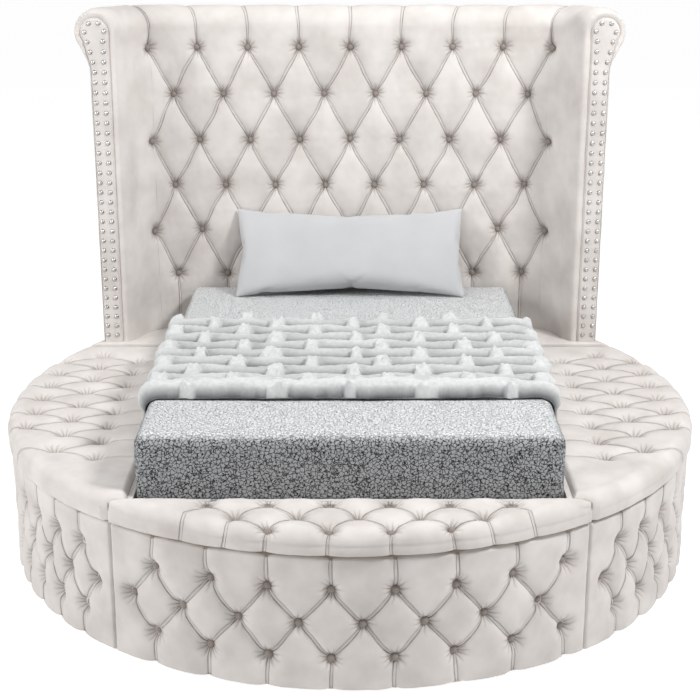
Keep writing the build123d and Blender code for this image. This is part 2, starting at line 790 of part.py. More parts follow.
wing_run = Vector(-sin(radians(wing_turn)), cos(radians(wing_turn)), 0)
wing_length = (panel_back + roll_radius - wing_front) * wing_stretch
mitre = Plane(origin=(fold_half_width + seat_gap, crown, 0), z_dir=(1, -mitre_slope, 0))

with BuildPart() as wing_facing:
    with BuildSketch(wing_plane(0)):
        scroll_outline(0, 0, wing_foot)
    extrude(amount=facing_thickness * wing_stretch, dir=wing_run)
save_pair(wing_facing, "wing_facing")

with BuildPart() as wing_core:
    with BuildSketch(wing_plane(facing_thickness + seat_gap)):
        scroll_outline(wing_padding + seat_gap, wing_cover + seat_gap, wing_foot)
    extrude(amount=wing_length, dir=wing_run)
    split(bisect_by=mitre)
save_pair(wing_core, "wing_core")

with BuildPart() as wing_pad:
    with BuildSketch(wing_plane(facing_thickness + seat_gap)):
        scroll_outline(0, 0, wing_foot)
        scroll_outline(wing_padding, wing_cover, wing_foot, mode=Mode.SUBTRACT)
    extrude(amount=wing_length, dir=wing_run)
    split(bisect_by=mitre)
save_pair(wing_pad, "wing_pad")

# Mattress, pillow and throw
with BuildPart() as mattress:
    low = (-half_mattress, -mattress_foot, slat_top)
    block(low, (half_mattress, mattress_length - mattress_foot, mattress_top))
    fillet(mattress.edges().filter_by(Axis.Z), mattress_corner)
    fillet(mattress.faces().filter_by(Axis.Z).edges(), mattress_edge)
save(mattress, "mattress")

# Shares of the pillow's width, height and thickness at each section, from one pointed end to the other
pillow_shares = ((-0.5, 1, 0.08), (-0.46, 0.96, 0.4), (-0.3, 0.94, 0.85), (0, 0.93, 1))
pillow_shares += tuple((-across, high, thick) for across, high, thick in reversed(pillow_shares[:-1]))
lean = Vector(0, cos(radians(pillow_tilt)), sin(radians(pillow_tilt)))
pillow_top = Vector(0, crown - seat_gap * 2, mattress_top + seat_gap + lean.Z * pillow_height)
with BuildPart() as pillow:
    for across, high, thick in pillow_shares:
        top = pillow_top - lean * pillow_height * (1 - high) / 2
        plane = Plane(origin=top + Vector(across * pillow_width, 0, 0), x_dir=-lean, z_dir=(1, 0, 0))
        length = high * pillow_height
        bulge = thick * pillow_thickness / 2
        with BuildSketch(plane):
            with BuildLine():
                ThreePointArc((0, 0), (length / 2, bulge), (length, 0))
                ThreePointArc((length, 0), (length / 2, -bulge), (0, 0))
            make_face()
    loft()
save(pillow, "pillow")

throw_side = half_mattress + seat_gap
throw_height = mattress_top + seat_gap
throw_turn = mattress_edge + seat_gap
throw_hem = throw_height - throw_drop
throw_corner = (-throw_side, throw_inset - mattress_foot, throw_hem)
throw_start = Plane(origin=throw_corner, x_dir=(0, 1, 0), z_dir=(0, 0, 1))
throw_flat = throw_side - throw_turn
throw_bend = throw_height - throw_turn
rib_pitch = throw_length / throw_rib_count
with BuildPart() as throw:
    with BuildLine(Plane.XZ):
        Line((-throw_side, throw_hem), (-throw_side, throw_bend))
        RadiusArc((-throw_side, throw_bend), (-throw_flat, throw_height), throw_turn)
        Line((-throw_flat, throw_height), (throw_flat, throw_height))
        RadiusArc((throw_flat, throw_height), (throw_side, throw_bend), throw_turn)
        Line((throw_side, throw_bend), (throw_side, throw_hem))
    with BuildSketch(throw_start):
        ribs = [(0, throw_thickness)]
        for rib in range(throw_rib_count):
            ribs.append(((rib + 1 / 2) * rib_pitch, throw_thickness + throw_rib))
            ribs.append(((rib + 1) * rib_pitch, throw_thickness))
        Polygon((0, 0), *ribs, (throw_length, 0))
    sweep()
save(throw, "throw")
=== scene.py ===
# %% [markdown]
# # A round upholstered bed in deep-tufted velvet
#
# The CAD model gives every part its place and size. This script dresses it: the
# velvet with its buttons and pleats, the fleece mattress cover, the pillow, the
# ribbed throw, the nail trim and the bare timber inside. Everything is in metres,
# in the CAD's own frame: +Z is up and the foot of the bed points to -Y.

import json
from math import atan2, ceil, cos, hypot, pi, radians, sin, sqrt, tan

import bmesh
import bpy
import numpy as np
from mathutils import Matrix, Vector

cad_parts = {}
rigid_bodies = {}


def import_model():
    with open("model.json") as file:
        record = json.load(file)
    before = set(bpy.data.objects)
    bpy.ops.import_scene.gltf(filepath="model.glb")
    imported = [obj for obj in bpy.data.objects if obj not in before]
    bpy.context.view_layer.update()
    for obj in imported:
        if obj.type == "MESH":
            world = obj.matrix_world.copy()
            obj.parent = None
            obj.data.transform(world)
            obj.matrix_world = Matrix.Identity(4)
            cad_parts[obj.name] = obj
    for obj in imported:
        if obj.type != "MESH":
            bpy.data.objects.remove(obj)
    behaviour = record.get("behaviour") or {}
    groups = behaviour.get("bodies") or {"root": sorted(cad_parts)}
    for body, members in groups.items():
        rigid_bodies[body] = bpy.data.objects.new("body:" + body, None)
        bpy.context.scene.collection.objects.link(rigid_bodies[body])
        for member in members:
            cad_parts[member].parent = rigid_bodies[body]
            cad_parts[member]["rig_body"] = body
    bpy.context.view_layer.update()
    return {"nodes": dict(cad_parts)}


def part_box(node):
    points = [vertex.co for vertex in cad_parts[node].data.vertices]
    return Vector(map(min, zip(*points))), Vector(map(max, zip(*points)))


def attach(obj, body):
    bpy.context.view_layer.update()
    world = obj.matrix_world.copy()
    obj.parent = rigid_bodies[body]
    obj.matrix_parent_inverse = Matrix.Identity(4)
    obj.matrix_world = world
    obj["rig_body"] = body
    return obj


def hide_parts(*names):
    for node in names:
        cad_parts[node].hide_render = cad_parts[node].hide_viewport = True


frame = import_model()
nodes = frame["nodes"]

# %% [markdown]
# ## Colours, nodes and a base for every material
#
# Colours are picked as sRGB hex values, but shaders work in linear light, so one function converts them. A
# second small function adds a shader node with its settings and links, which keeps each material readable
# from top to bottom.


# %% Colour and node helpers
MM = 0.001
# The kinds of node that nearly every material uses
COORDINATES, ATTRIBUTE, NOISE = "ShaderNodeTexCoord", "ShaderNodeAttribute", "ShaderNodeTexNoise"
MATH, REMAP, MIX, BUMP = "ShaderNodeMath", "ShaderNodeMapRange", "ShaderNodeMix", "ShaderNodeBump"


def linear(hex_colour):
    """An sRGB hex colour as the linear colour that shaders take."""
    shares = [int(hex_colour[place : place + 2], 16) / 255 for place in (0, 2, 4)]
    return [c / 12.92 if c <= 0.04045 else ((c + 0.055) / 1.055) ** 2.4 for c in shares] + [1]


def add(tree, kind, inputs=None, **settings):
    """Adds a node: settings are its own properties, inputs are values or other nodes' outputs."""
    made = tree.nodes.new(kind)
    for name, value in settings.items():
        setattr(made, name, value)
    for name, value in (inputs or {}).items():
        if isinstance(value, bpy.types.NodeSocket):
            tree.links.new(value, made.inputs[name])
        else:
            made.inputs[name].default_value = value
    return made


def start_material(name):
    """A material with an empty node tree."""
    material = bpy.data.materials.new(name)
    material.use_nodes = True
    material.node_tree.nodes.clear()
    return material, material.node_tree


def finish_material(tree, inputs):
    """Ends a material with its Principled shader, whose plain numbers are set on its own sockets."""
    shader = add(tree, "ShaderNodeBsdfPrincipled", inputs)
    add(tree, "ShaderNodeOutputMaterial", {"Surface": shader.outputs["BSDF"]})


print("helpers ready")

# %% [markdown]
# ## Velvet
#
# Velvet is a woven ground with a short upright pile. Light catches the tips of the pile at a grazing angle,
# which the shader's sheen gives, and the pile lies in brushed patches a hand wide, a little lighter or
# darker. Along each pleat the cloth folds under itself: two fine lines of painted shade with a soft ridge
# between them, and small puckers, their shade painted too, fan out round each button. The hollows round the
# buttons and pleats are painted darker as well, for the shade that falls in them. The mesh carries its
# distances to the nearest pleat and button as attributes, so these marks stay sharp however coarse the mesh
# is.


# %% Velvet material
PLEAT_HALF = 5.8 * MM
LINE_SHARP, LINE_SOFT = 0.4 * MM, 2.4 * MM
PUCKERS = 11
PUCKER_NEAR, PUCKER_FAR = 11 * MM, 50 * MM
PUCKER_SHADE = 0.6
CREASE_SHADE_AMOUNT = 0.8
CREASE_SHADE_HEX = "5A524D"


def pleat_shade_marks(tree, place):
    """Two lines of painted shade and a soft ridge along each pleat, as (dark, raised)."""
    side = add(tree, ATTRIBUTE, attribute_name="pleat_side").outputs["Fac"]
    near = add(tree, ATTRIBUTE, attribute_name="pleat_near").outputs["Fac"]
    away = add(tree, MATH, {0: side}, operation="ABSOLUTE").outputs[0]
    off = add(tree, MATH, {0: away, 1: PLEAT_HALF}, operation="SUBTRACT").outputs[0]
    gap = add(tree, MATH, {0: off}, operation="ABSOLUTE").outputs[0]
    line = add(tree, REMAP, {"Value": gap, "From Min": LINE_SHARP, "From Max": LINE_SOFT,
                             "To Min": 1.0, "To Max": 0.0}).outputs[0]
    ridge = add(tree, REMAP, {"Value": away, "From Min": 0.0, "From Max": PLEAT_HALF,
                              "To Min": 0.7, "To Max": 0.0}).outputs[0]
    # A hand-pulled fold's painted shade is darker in some places than in others, and darkest below its
    # pleat, where the upper fold throws its shadow
    patchy = add(tree, NOISE, {"Vector": place, "Scale": 1 / (38 * MM)}).outputs[0]
    strength = add(tree, REMAP, {"Value": patchy, "From Min": 0.3, "From Max": 0.65,
                                 "To Min": 0.6, "To Max": 1.0}).outputs[0]
    under = add(tree, REMAP, {"Value": side, "From Min": -1 * MM, "From Max": 1 * MM,
                              "To Min": 0.7, "To Max": 1.0}).outputs[0]
    uneven = add(tree, MATH, {0: strength, 1: under}, operation="MULTIPLY").outputs[0]
    strong = add(tree, MATH, {0: line, 1: uneven}, operation="MULTIPLY").outputs[0]
    dark = add(tree, MATH, {0: strong, 1: near}, operation="MULTIPLY").outputs[0]
    raised = add(tree, MATH, {0: ridge, 1: near}, operation="MULTIPLY").outputs[0]
    return dark, raised


def pucker_shade_marks(tree, place):
    """The painted shade in the small folds that fan out round each button."""
    # The step from the nearest button, in the layout, gives an angle for its puckers. The third
    # number is the reach itself, because the step turns round on the line between two buttons
    step = add(tree, ATTRIBUTE, attribute_name="from_button").outputs["Vector"]
    parts = add(tree, "ShaderNodeSeparateXYZ", {0: step}).outputs
    angle = add(tree, MATH, {0: parts["Y"], 1: parts["X"]}, operation="ARCTAN2").outputs[0]
    stir = add(tree, NOISE, {"Vector": place, "Scale": 1 / (70 * MM)}).outputs[0]
    shifted = add(tree, MATH, {0: stir, 1: 14.0}, operation="MULTIPLY").outputs[0]
    phase = add(tree, MATH, {0: angle, 1: PUCKERS, 2: shifted}, operation="MULTIPLY_ADD").outputs[0]
    wave = add(tree, MATH, {0: phase}, operation="SINE").outputs[0]
    sharp = add(tree, REMAP, {"Value": wave, "From Min": 0.1, "From Max": 1.0}).outputs[0]
    fade = add(tree, REMAP, {"Value": parts["Z"], "From Min": PUCKER_NEAR, "From Max": PUCKER_FAR,
                             "To Min": 1.0, "To Max": 0.0}).outputs[0]
    # A piece without buttons has no such step, so its reach is 0 everywhere
    tufted_here = add(tree, MATH, {0: parts["Z"], 1: 1 * MM}, operation="GREATER_THAN").outputs[0]
    folds = add(tree, MATH, {0: sharp, 1: fade}, operation="MULTIPLY").outputs[0]
    return add(tree, MATH, {0: folds, 1: tufted_here}, operation="MULTIPLY").outputs[0]


def make_velvet(name, face_hex, shade_and_brushed_hex):
    """Short-pile velvet, brushed in patches, with painted shade in its tufts' hollows and in the creases of
    its pleats and puckers.
    """
    material, tree = start_material(name)
    place = add(tree, COORDINATES).outputs["Object"]
    crease_shade, raised = pleat_shade_marks(tree, place)
    dark = add(tree, MATH, {0: pucker_shade_marks(tree, place), 1: PUCKER_SHADE, 2: crease_shade},
               operation="MULTIPLY_ADD", use_clamp=True).outputs[0]
    height = add(tree, MATH, {0: raised, 1: dark}, operation="SUBTRACT").outputs[0]
    patches = add(tree, NOISE, {"Vector": place, "Scale": 1 / (140 * MM), "Detail": 3.0}).outputs[0]
    brushed = add(tree, REMAP, {"Value": patches, "From Min": 0.35, "From Max": 0.7,
                                "To Min": 0.0, "To Max": 0.42}).outputs[0]
    # The deeper a point of the tuft is drawn in, the more shade is painted into its colour; the brushed
    # patches add the pile's own lighter and darker tones
    deep = add(tree, ATTRIBUTE, attribute_name="tuft_shade").outputs["Fac"]
    shade = add(tree, MATH, {0: deep, 1: 0.6, 2: brushed}, operation="MULTIPLY_ADD",
                use_clamp=True).outputs[0]
    soft = add(tree, MIX, {0: shade, 6: linear(face_hex), 7: linear(shade_and_brushed_hex)},
               data_type="RGBA").outputs[2]
    # The pleat lines and puckers paint shade into the colour, towards the crease shade colour
    amount = add(tree, MATH, {0: dark, 1: CREASE_SHADE_AMOUNT}, operation="MULTIPLY").outputs[0]
    colour = add(tree, MIX, {0: amount, 6: soft, 7: linear(CREASE_SHADE_HEX)}, data_type="RGBA").outputs[2]
    pile = add(tree, NOISE, {"Vector": place, "Scale": 1 / (3 * MM), "Detail": 2.0}).outputs[0]
    fine = add(tree, BUMP, {"Height": pile, "Strength": 0.25, "Distance": 1 * MM}).outputs[0]
    bump = add(tree, BUMP, {"Height": height, "Strength": 0.9, "Distance": 3 * MM, "Normal": fine})
    finish_material(tree, {"Base Color": colour, "Roughness": 0.8, "Specular IOR Level": 0.25,
                           "Sheen Weight": 0.35, "Sheen Roughness": 0.4, "Normal": bump.outputs[0]})
    return material


velvet = make_velvet("pale velvet, short pile", "DFDAD6", "ADA49F")
# The buttons get a darker copy of the velvet: painted shade, for the pits that they sit in
button_velvet = make_velvet("button velvet, painted in shade", "978D86", "7E7570")
print("made", velvet.name, "and", button_velvet.name)

# %% [markdown]
# ## Tufting: how a button and a pleat pull a padded surface in
#
# Deep tufting starts as a smooth surface. Each button is tied down into the foam,
# and the slack between neighbouring buttons folds into a pleat. So a tufted
# surface is its smooth form, pushed in by an amount that falls off with the
# distance to the nearest pleat and button. That amount is worked out on the flat
# layout, the way an upholsterer marks the foam, and then applied along the
# surface's own normals. Several pulls join with a power sum, which rounds the
# places where they meet.


# %% Pulls on a flat layout
def ripple(flat, size, seed):
    """Soft uneven waves of about one size, mostly between -1 and 1, the same on every run."""
    chance = np.random.default_rng(seed)
    total = np.zeros(flat.shape[:-1])
    for _ in range(8):
        turn, phase = chance.uniform(0, 2 * pi, 2)
        wave = 2 * pi / (size * chance.uniform(0.7, 1.5))
        total += np.sin(wave * (flat[..., 0] * cos(turn) + flat[..., 1] * sin(turn)) + phase)
    return total / 5


PLEAT_SHARP = 10 * MM
BUTTON_SHARP = 20 * MM
BUTTON_FLAT = 11 * MM
NEAR_PLEAT = 25 * MM
FAR = 0.2
JOIN_POWER = 4
# Part of each pull is a sharp dip close by, and the rest a slope as wide as the tuft is soft
CREASE_SHARE, DIMPLE_SHARE = 0.22, 0.5
CLOSED_SHARE = 0.3


def draw_in(flat, pleats, buttons, deep, soft):
    """What tufting does to each point of a layout.

    It gives how far the point is drawn in, its signed distance to the nearest pleat, how near that
    pleat is from 0 to 1, and its step from the nearest button with the reach as third number."""
    points = flat.reshape(-1, 2)
    deep = np.broadcast_to(deep, flat.shape[:-1]).ravel()
    pull = np.zeros(len(points))
    side = np.full(len(points), 1.0)
    for start, end, shares in pleats:
        start, end = np.array(start), np.array(end)
        run = end - start
        length = hypot(*run)
        close = np.flatnonzero(np.abs(points - (start + end) / 2).max(axis=1) < length / 2 + soft)
        step = points[close] - start
        along = np.clip(step @ run / length**2, 0, 1)
        gap = np.hypot(*(step - along[:, None] * run).T)
        # A pleat pulls by its own share of the depth at its start, its middle and its end
        ends = np.where(along < 0.5, shares[0], shares[2])
        share = shares[1] + (ends - shares[1]) * (2 * along - 1) ** 2
        slope = np.clip(1 - gap / soft, 0, 1) ** 2.2
        fall = CREASE_SHARE * np.exp(-((gap / PLEAT_SHARP) ** 2)) + (1 - CREASE_SHARE) * slope
        pull[close] += (deep[close] * share * fall) ** JOIN_POWER
        # Near its ends a pleat's two lines draw together, so the distance counts for more there
        open_share = CLOSED_SHARE + (1 - CLOSED_SHARE) * np.sin(pi * along) ** 0.6
        # The side is positive below the pleat, where the upper fold throws its shadow
        below = np.sign(step[:, 0] * run[1] - step[:, 1] * run[0]) * (-1 if run[0] < 0 else 1)
        signed = gap / open_share * below
        nearer = gap / open_share < np.abs(side[close])
        side[close[nearer]] = signed[nearer]
    from_button = np.full((len(points), 3), FAR)
    for button in buttons:
        step = points - np.array(button)
        close = np.flatnonzero(np.abs(step).max(axis=1) < soft)
        gap = np.hypot(*step[close].T)
        beyond = np.clip(gap - BUTTON_FLAT, 0, None)
        slope = np.clip(1 - beyond / soft, 0, 1) ** 2
        fall = DIMPLE_SHARE * np.exp(-((beyond / BUTTON_SHARP) ** 2)) + (1 - DIMPLE_SHARE) * slope
        pull[close] += (deep[close] * fall) ** JOIN_POWER
        nearer = gap < from_button[close, 2]
        from_button[close[nearer], :2] = step[close[nearer]]
        from_button[close[nearer], 2] = gap[nearer]
    near = np.clip(1 - np.abs(side) / NEAR_PLEAT, 0, 1)
    shape = flat.shape[:-1]
    pull = (pull ** (1 / JOIN_POWER)).reshape(shape)
    return pull, side.reshape(shape), near.reshape(shape), from_button.reshape(*shape, 3)


def joined(places, reach, axis, least):
    """Pairs of buttons near enough for a pleat, and in different rows along an axis."""
    pairs = []
    for index, place in enumerate(places):
        for other in places[index + 1 :]:
            apart = abs(place[axis] - other[axis])
            if apart > least and hypot(place[0] - other[0], place[1] - other[1]) < reach:
                pairs.append((place, other))
    return pairs


print("tufting helpers ready")

# %% [markdown]
# ## From rings of points to a solid pad
#
# Each pad is a closed skin through rings of points, like the ribs of a boat. The
# front of each ring follows the tufted surface and the back is plain. A helper
# turns the rings into a mesh and stores the pleat attributes with it.


# %% Skins from rings
MERGE = 0.01 * MM


def skin(name, rings, material, facts=None):
    """A mesh through rings of points, closed round each ring and capped at both ends."""
    rings = np.asarray(rings, float)
    rows, columns = rings.shape[:2]
    index = np.arange(rows * columns).reshape(rows, columns)
    follow = np.roll(index, -1, axis=1)
    quads = np.stack([index[:-1], follow[:-1], follow[1:], index[1:]], -1).reshape(-1, 4).tolist()
    quads += [index[0].tolist(), index[-1, ::-1].tolist()]
    mesh = bpy.data.meshes.new(name)
    mesh.from_pydata(rings.reshape(-1, 3).tolist(), [], quads)
    for fact, values in (facts or {}).items():
        kind, key = ("FLOAT_VECTOR", "vector") if np.ndim(values) == 3 else ("FLOAT", "value")
        attribute = mesh.attributes.new(fact, kind, "POINT")
        attribute.data.foreach_set(key, np.asarray(values, np.float32).ravel())
    return finish_mesh(name, mesh, material)


def put(name, data):
    """A new object in the scene with its mesh, curve, lamp or camera."""
    made = bpy.data.objects.new(name, data)
    bpy.context.scene.collection.objects.link(made)
    return made


def settled(name, shell):
    """A new mesh from a finished shell, which is freed."""
    mesh = bpy.data.meshes.new(name)
    shell.to_mesh(mesh)
    shell.free()
    return mesh


def finish_mesh(name, mesh, material):
    """An object in the scene with its normals outward, smooth but for its hard edges."""
    shell = bmesh.new()
    shell.from_mesh(mesh)
    bmesh.ops.remove_doubles(shell, verts=shell.verts, dist=MERGE)
    bmesh.ops.recalc_face_normals(shell, faces=shell.faces)
    shell.to_mesh(mesh)
    shell.free()
    mesh.shade_smooth()
    mesh.set_sharp_from_angle(angle=radians(60))
    made = put(name, mesh)
    mesh.materials.append(material)
    print(name, len(mesh.polygons), "faces")
    return made


def outward_normals(grid, hint):
    """Unit normals of a grid of points, all on the side of a hint direction."""
    across = np.gradient(grid, axis=1)
    up = np.gradient(grid, axis=0)
    normal = np.cross(across, up)
    normal /= np.linalg.norm(normal, axis=2, keepdims=True) + 1e-12
    return normal * np.sign((normal * hint).sum(axis=2, keepdims=True) + 1e-9)


def rounded(gap, radius):
    """How far a quarter-round edge lies below its top, at a gap from the edge."""
    gap = np.clip(gap, 0, radius)
    return radius - np.sqrt(np.clip(radius**2 - (radius - gap) ** 2, 0, None))


def merged(node):
    """A CAD node's loose triangles as one joined shell. The node itself stays as it is."""
    shell = bmesh.new()
    shell.from_mesh(nodes[node].data)
    bmesh.ops.remove_doubles(shell, verts=shell.verts, dist=MERGE)
    return shell


def islands(node):
    """The middle of each separate solid in a CAD node, in a fixed order."""
    shell = merged(node)
    left, middles = set(shell.verts), []
    while left:
        found, edge = set(), [left.pop()]
        while edge:
            vert = edge.pop()
            found.add(vert)
            for link in vert.link_edges:
                other = link.other_vert(vert)
                if other in left:
                    left.remove(other)
                    edge.append(other)
        middles.append(tuple(np.mean([vert.co[:] for vert in found], axis=0).round(9)))
    shell.free()
    return sorted(middles)


print("skin helpers ready")


# %% Tufted pads
seats = {}
SEAT_RISE = 3.5 * MM
SETTLE = 1.7 * MM
WANDER, WANDER_SIZE = 4.5 * MM, 150 * MM


def tufted(name, body, grid, hint, flat, pleats, buttons, seated, deep, soft, back, seed, room=None):
    """A tufted pad: its smooth front drawn in along its normals, closed by a plain back.

    The places of its seated buttons, with their directions, go into seats for the pad's body. The
    room is how far each point can go down before it meets the board."""
    # Hand-pulled pleats are never quite straight, so the layout is stirred a little
    stir = np.stack([ripple(flat, WANDER_SIZE, seed + 5), ripple(flat, WANDER_SIZE, seed + 6)], -1)
    flat = flat + WANDER * stir
    pull, side, near, from_button = draw_in(flat, pleats, buttons, deep, soft)
    uneven = 1.2 * MM * ripple(flat, 160 * MM, seed + 1) + 0.5 * MM * ripple(flat, 45 * MM, seed + 2)
    outward = outward_normals(grid, hint)
    push = pull + SETTLE + uneven
    if room is not None:
        push = np.minimum(push, room / np.clip(outward[..., 2], 0.25, 1))
    front = grid - outward * push[..., None]
    for button in seated:
        nearest = np.linalg.norm(flat - button, axis=2).argmin()
        row, column = np.unravel_index(nearest, flat.shape[:2])
        seat = front[row, column] + outward[row, column] * SEAT_RISE
        seats.setdefault(body, []).append((seat, outward[row, column]))
    spare = np.zeros(back.shape[:2])
    # How deep each point is drawn in is kept to paint shade into the velvet in the tufts' hollows
    facts = {
        "pleat_side": np.concatenate([side, spare + 1], axis=1),
        "pleat_near": np.concatenate([near, spare], axis=1),
        "tuft_shade": np.concatenate([np.clip(pull / deep, 0, 1) ** 2.5, spare], axis=1),
        "from_button": np.concatenate([from_button, np.full((*back.shape[:2], 3), FAR)], axis=1),
    }
    return skin(name, np.concatenate([front, back], axis=1), velvet, facts)


def cover(piece, body, material_slot, *replaced, fill=0.9):
    """A padded piece rides on its body in place of its CAD solids."""
    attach(piece, body)
    if replaced:
        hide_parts(*replaced)
    return piece


print("tufted pads ready")

# %% [markdown]
# ## The round base: tufted faces
#
# The drum is one long padded band round the foot and two round the sides. Its
# flat layout is the arc length along the crown by the height. Diagonal pleats
# join the buttons of neighbouring rows, and straight ones run from the outer rows
# to the band's top and hem.

# %% Tufted faces
GRID = 5 * MM
FACE_SOFT = 62 * MM
FACE_DEEP, SIDE_DEEP = 22 * MM, 33 * MM
DEEPER_FROM, DEEPER_OVER = radians(8), radians(24)
FACE_EDGE = 14 * MM
HEM_SHARPER = 1.5
FACE_REACH, FACE_ROW_GAP = 180 * MM, 60 * MM
PAST_EDGE = 10 * MM
BACK_POINTS = 48
SEAM_Y = 1.035
# A pleat's shares of the full depth, at its start, its middle and its end
FACE_PLEAT, FACE_END_PLEAT = (0.9, 0.5, 0.9), (0.9, 0.35, 0.4)
face_low, face_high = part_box("foot_face_pad")
face_radius = -face_low.y
face_back = 0.3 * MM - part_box("foot_outer_wall")[0].y
plinth_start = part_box("right_plinth_pad")[0].y
seam_turn = atan2(sqrt(face_radius**2 - SEAM_Y**2), SEAM_Y)
rear_turn = pi - atan2(sqrt(face_radius**2 - plinth_start**2), plinth_start)


def drum_face(name, start, end, seed):
    """One stretch of the drum's padding between two turns from the foot, in radians."""
    places = [(face_radius * atan2(x, -y), z) for x, y, z in islands(name.replace("pad", "buttons"))]
    turns = np.linspace(start, end, ceil((end - start) * face_radius / GRID))
    heights = np.linspace(face_low.z, face_high.z, ceil((face_high.z - face_low.z) / GRID))
    turn, height = np.meshgrid(turns, heights)
    # The ends and the top edge turn inward, as cloth pulled round the foam does
    end_gap = np.minimum(turn - start, end - turn) * face_radius
    rim_gap = np.minimum(face_high.z - height, (height - face_low.z) * HEM_SHARPER)
    radius = face_radius - np.maximum(rounded(end_gap, FACE_EDGE), rounded(rim_gap, FACE_EDGE))
    grid = np.stack([radius * np.sin(turn), -radius * np.cos(turn), height], -1)
    flat = np.stack([face_radius * turn, height], -1)
    pleats = [(a, b, FACE_PLEAT) for a, b in joined(places, FACE_REACH, 1, FACE_ROW_GAP)]
    rows = sorted({round(z, 3) for _, z in places})
    for u, z in places:
        if abs(z - rows[-1]) < MM:
            pleats.append(((u, z), (u, face_high.z + PAST_EDGE), FACE_END_PLEAT))
        if abs(z - rows[0]) < MM:
            pleats.append(((u, z), (u, face_low.z - PAST_EDGE), FACE_END_PLEAT))
    back_turn = np.linspace(end, start, BACK_POINTS)
    back = np.stack([np.sin(back_turn) * face_back, -np.cos(back_turn) * face_back, 0 * back_turn], -1)
    back = np.repeat(back[None], len(heights), axis=0)
    back[..., 2] = heights[:, None]
    hint = np.stack([np.sin(turn), -np.cos(turn), 0 * turn], -1)
    # The tufts are deepest where the base turns away to the sides
    aside = np.clip((np.abs(turn) - DEEPER_FROM) / DEEPER_OVER, 0, 1)
    deep = FACE_DEEP + (SIDE_DEEP - FACE_DEEP) * aside
    made = tufted(f"{name}_cover", "base", grid, hint, flat, pleats, places, places, deep, FACE_SOFT,
                  back, seed)
    return cover(made, "base", "velvet", name)


drum_face("foot_face_pad", -seam_turn, seam_turn, 11)
drum_face("right_face_pad", seam_turn, rear_turn, 12)
drum_face("left_face_pad", -rear_turn, -seam_turn, 13)

# %% [markdown]
# ## Lids
#
# Each bench lid is a plywood board with foam over it and velvet wrapped round the
# rim. Its section runs from the hinge edge over the top, round the rim and back
# under to the board. The same function makes the side lids and the foot lid: only
# the direction of the section changes.

# %% Lid sections
foot_low, foot_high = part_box("foot_lid_pad")
board_low, board_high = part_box("foot_lid_board")
LID_LOW, LID_TOP = foot_low.z, foot_high.z
BOARD_TOP = LID_LOW + 18.5 * MM
BATTEN_TOP = board_high.z + 0.4 * MM
BATTEN_WIDE, BATTEN_ROOM = 25 * MM, 28 * MM
LEAST_FOAM = 1.5 * MM
rim_radius, board_radius = -foot_low.y, -board_low.y
RIM_ROUND, HINGE_ROUND, END_ROUND = 52 * MM, 19 * MM, 44 * MM
RIM_REACH = 330 * MM
RIM_BULGE = 2.5 * MM
FLAP = 1.2 * MM
LID_SOFT, LID_DEEP = 76 * MM, 28 * MM
TOP_POINTS, TURN_POINTS, WALL_POINTS = 95, 16, 9
LID_PLEAT, RIM_PLEAT, HINGE_PLEAT = (0.95, 0.6, 0.95), (0.95, 0.16, 0.12), (0.95, 0.2, 0.05)
# The least cosine of the angle to a button that counts as straight ahead
AHEAD = 0.62


def lid_grid(straight, stations):
    """A lid's top and rim as (across, along, up), its flat layout and its underside's points."""
    grid, flat, under = [], [], []
    for station in stations:
        rim = sqrt(rim_radius**2 - station**2)
        width = rim - straight
        turn_in = min(RIM_ROUND / width, 0.5)
        level = np.linspace(0, 1 - turn_in, TOP_POINTS, endpoint=False)
        turn = 1 - turn_in * (1 - np.sin(np.linspace(0, pi / 2, TURN_POINTS)))
        across = straight + width * np.append(level, turn)
        drop = rounded(rim_radius - np.hypot(across, station), RIM_ROUND)
        drop = np.maximum(drop, rounded(across - straight, HINGE_ROUND))
        end_gap = min(station - stations[0], stations[-1] - station)
        top = LID_TOP - np.maximum(drop, rounded(end_gap, END_ROUND))
        fall = np.linspace(0, 1, WALL_POINTS + 1)[1:]
        points = np.full((len(across) + WALL_POINTS, 3), station)
        points[:, 0] = np.append(across, rim + RIM_BULGE * (np.sin(pi * fall) - 1))
        points[:, 2] = np.append(top, top[-1] + fall * (LID_LOW - top[-1]))
        # Past the start of the turn the layout runs on outward, by the length of cloth
        length = np.cumsum(np.hypot(*np.diff(points[:, ::2], axis=0, prepend=points[:1, ::2]).T))
        past = np.clip(length - length[TOP_POINTS], 0, None)
        plan = np.stack([np.minimum(points[:, 0], across[TOP_POINTS]), points[:, 1]], -1)
        stretch = 1 + past / np.hypot(*plan.T)
        grid.append(points)
        flat.append(plan * stretch[:, None])
        board = max(sqrt(max(board_radius**2 - station**2, 0)), straight + 2 * MM)
        batten = min(straight + BATTEN_WIDE, board)
        section = [(board, LID_LOW), (board, BOARD_TOP), (batten, BOARD_TOP), (batten, BATTEN_TOP),
                   (straight, BATTEN_TOP), (straight, LID_LOW), (straight - FLAP, LID_LOW),
                   (straight - FLAP, LID_TOP - HINGE_ROUND - FLAP)]
        under.append([(place, station, height) for place, height in section])
    return np.array(grid), np.array(flat), np.array(under)


def lid_pleats(buttons, reach, row_gap, lean):
    """Pleats between a lid's rows, from its outer buttons round the rim, and to its hinge edge.

    A rim pleat's lean is 0 straight across the lid and 1 straight out from the base's centre."""
    pleats = [(a, b, LID_PLEAT) for a, b in joined(buttons, reach, 0, row_gap)]
    first = min(across for across, _ in buttons)
    for button in buttons:
        start = np.array(button)
        away = lean * start / hypot(*start) + (1 - lean) * np.array([1, 0])
        steps = [np.array(other) - start for other in buttons if other != button]
        near = [step for step in steps if hypot(*step) < reach]
        if not any(step @ away > AHEAD * hypot(*step) for step in near):
            pleats.append((button, tuple(start + away * RIM_REACH), RIM_PLEAT))
        if start[0] < first + row_gap / 2:
            pleats.append((button, (start[0] - row_gap * 2, start[1]), HINGE_PLEAT))
    return pleats


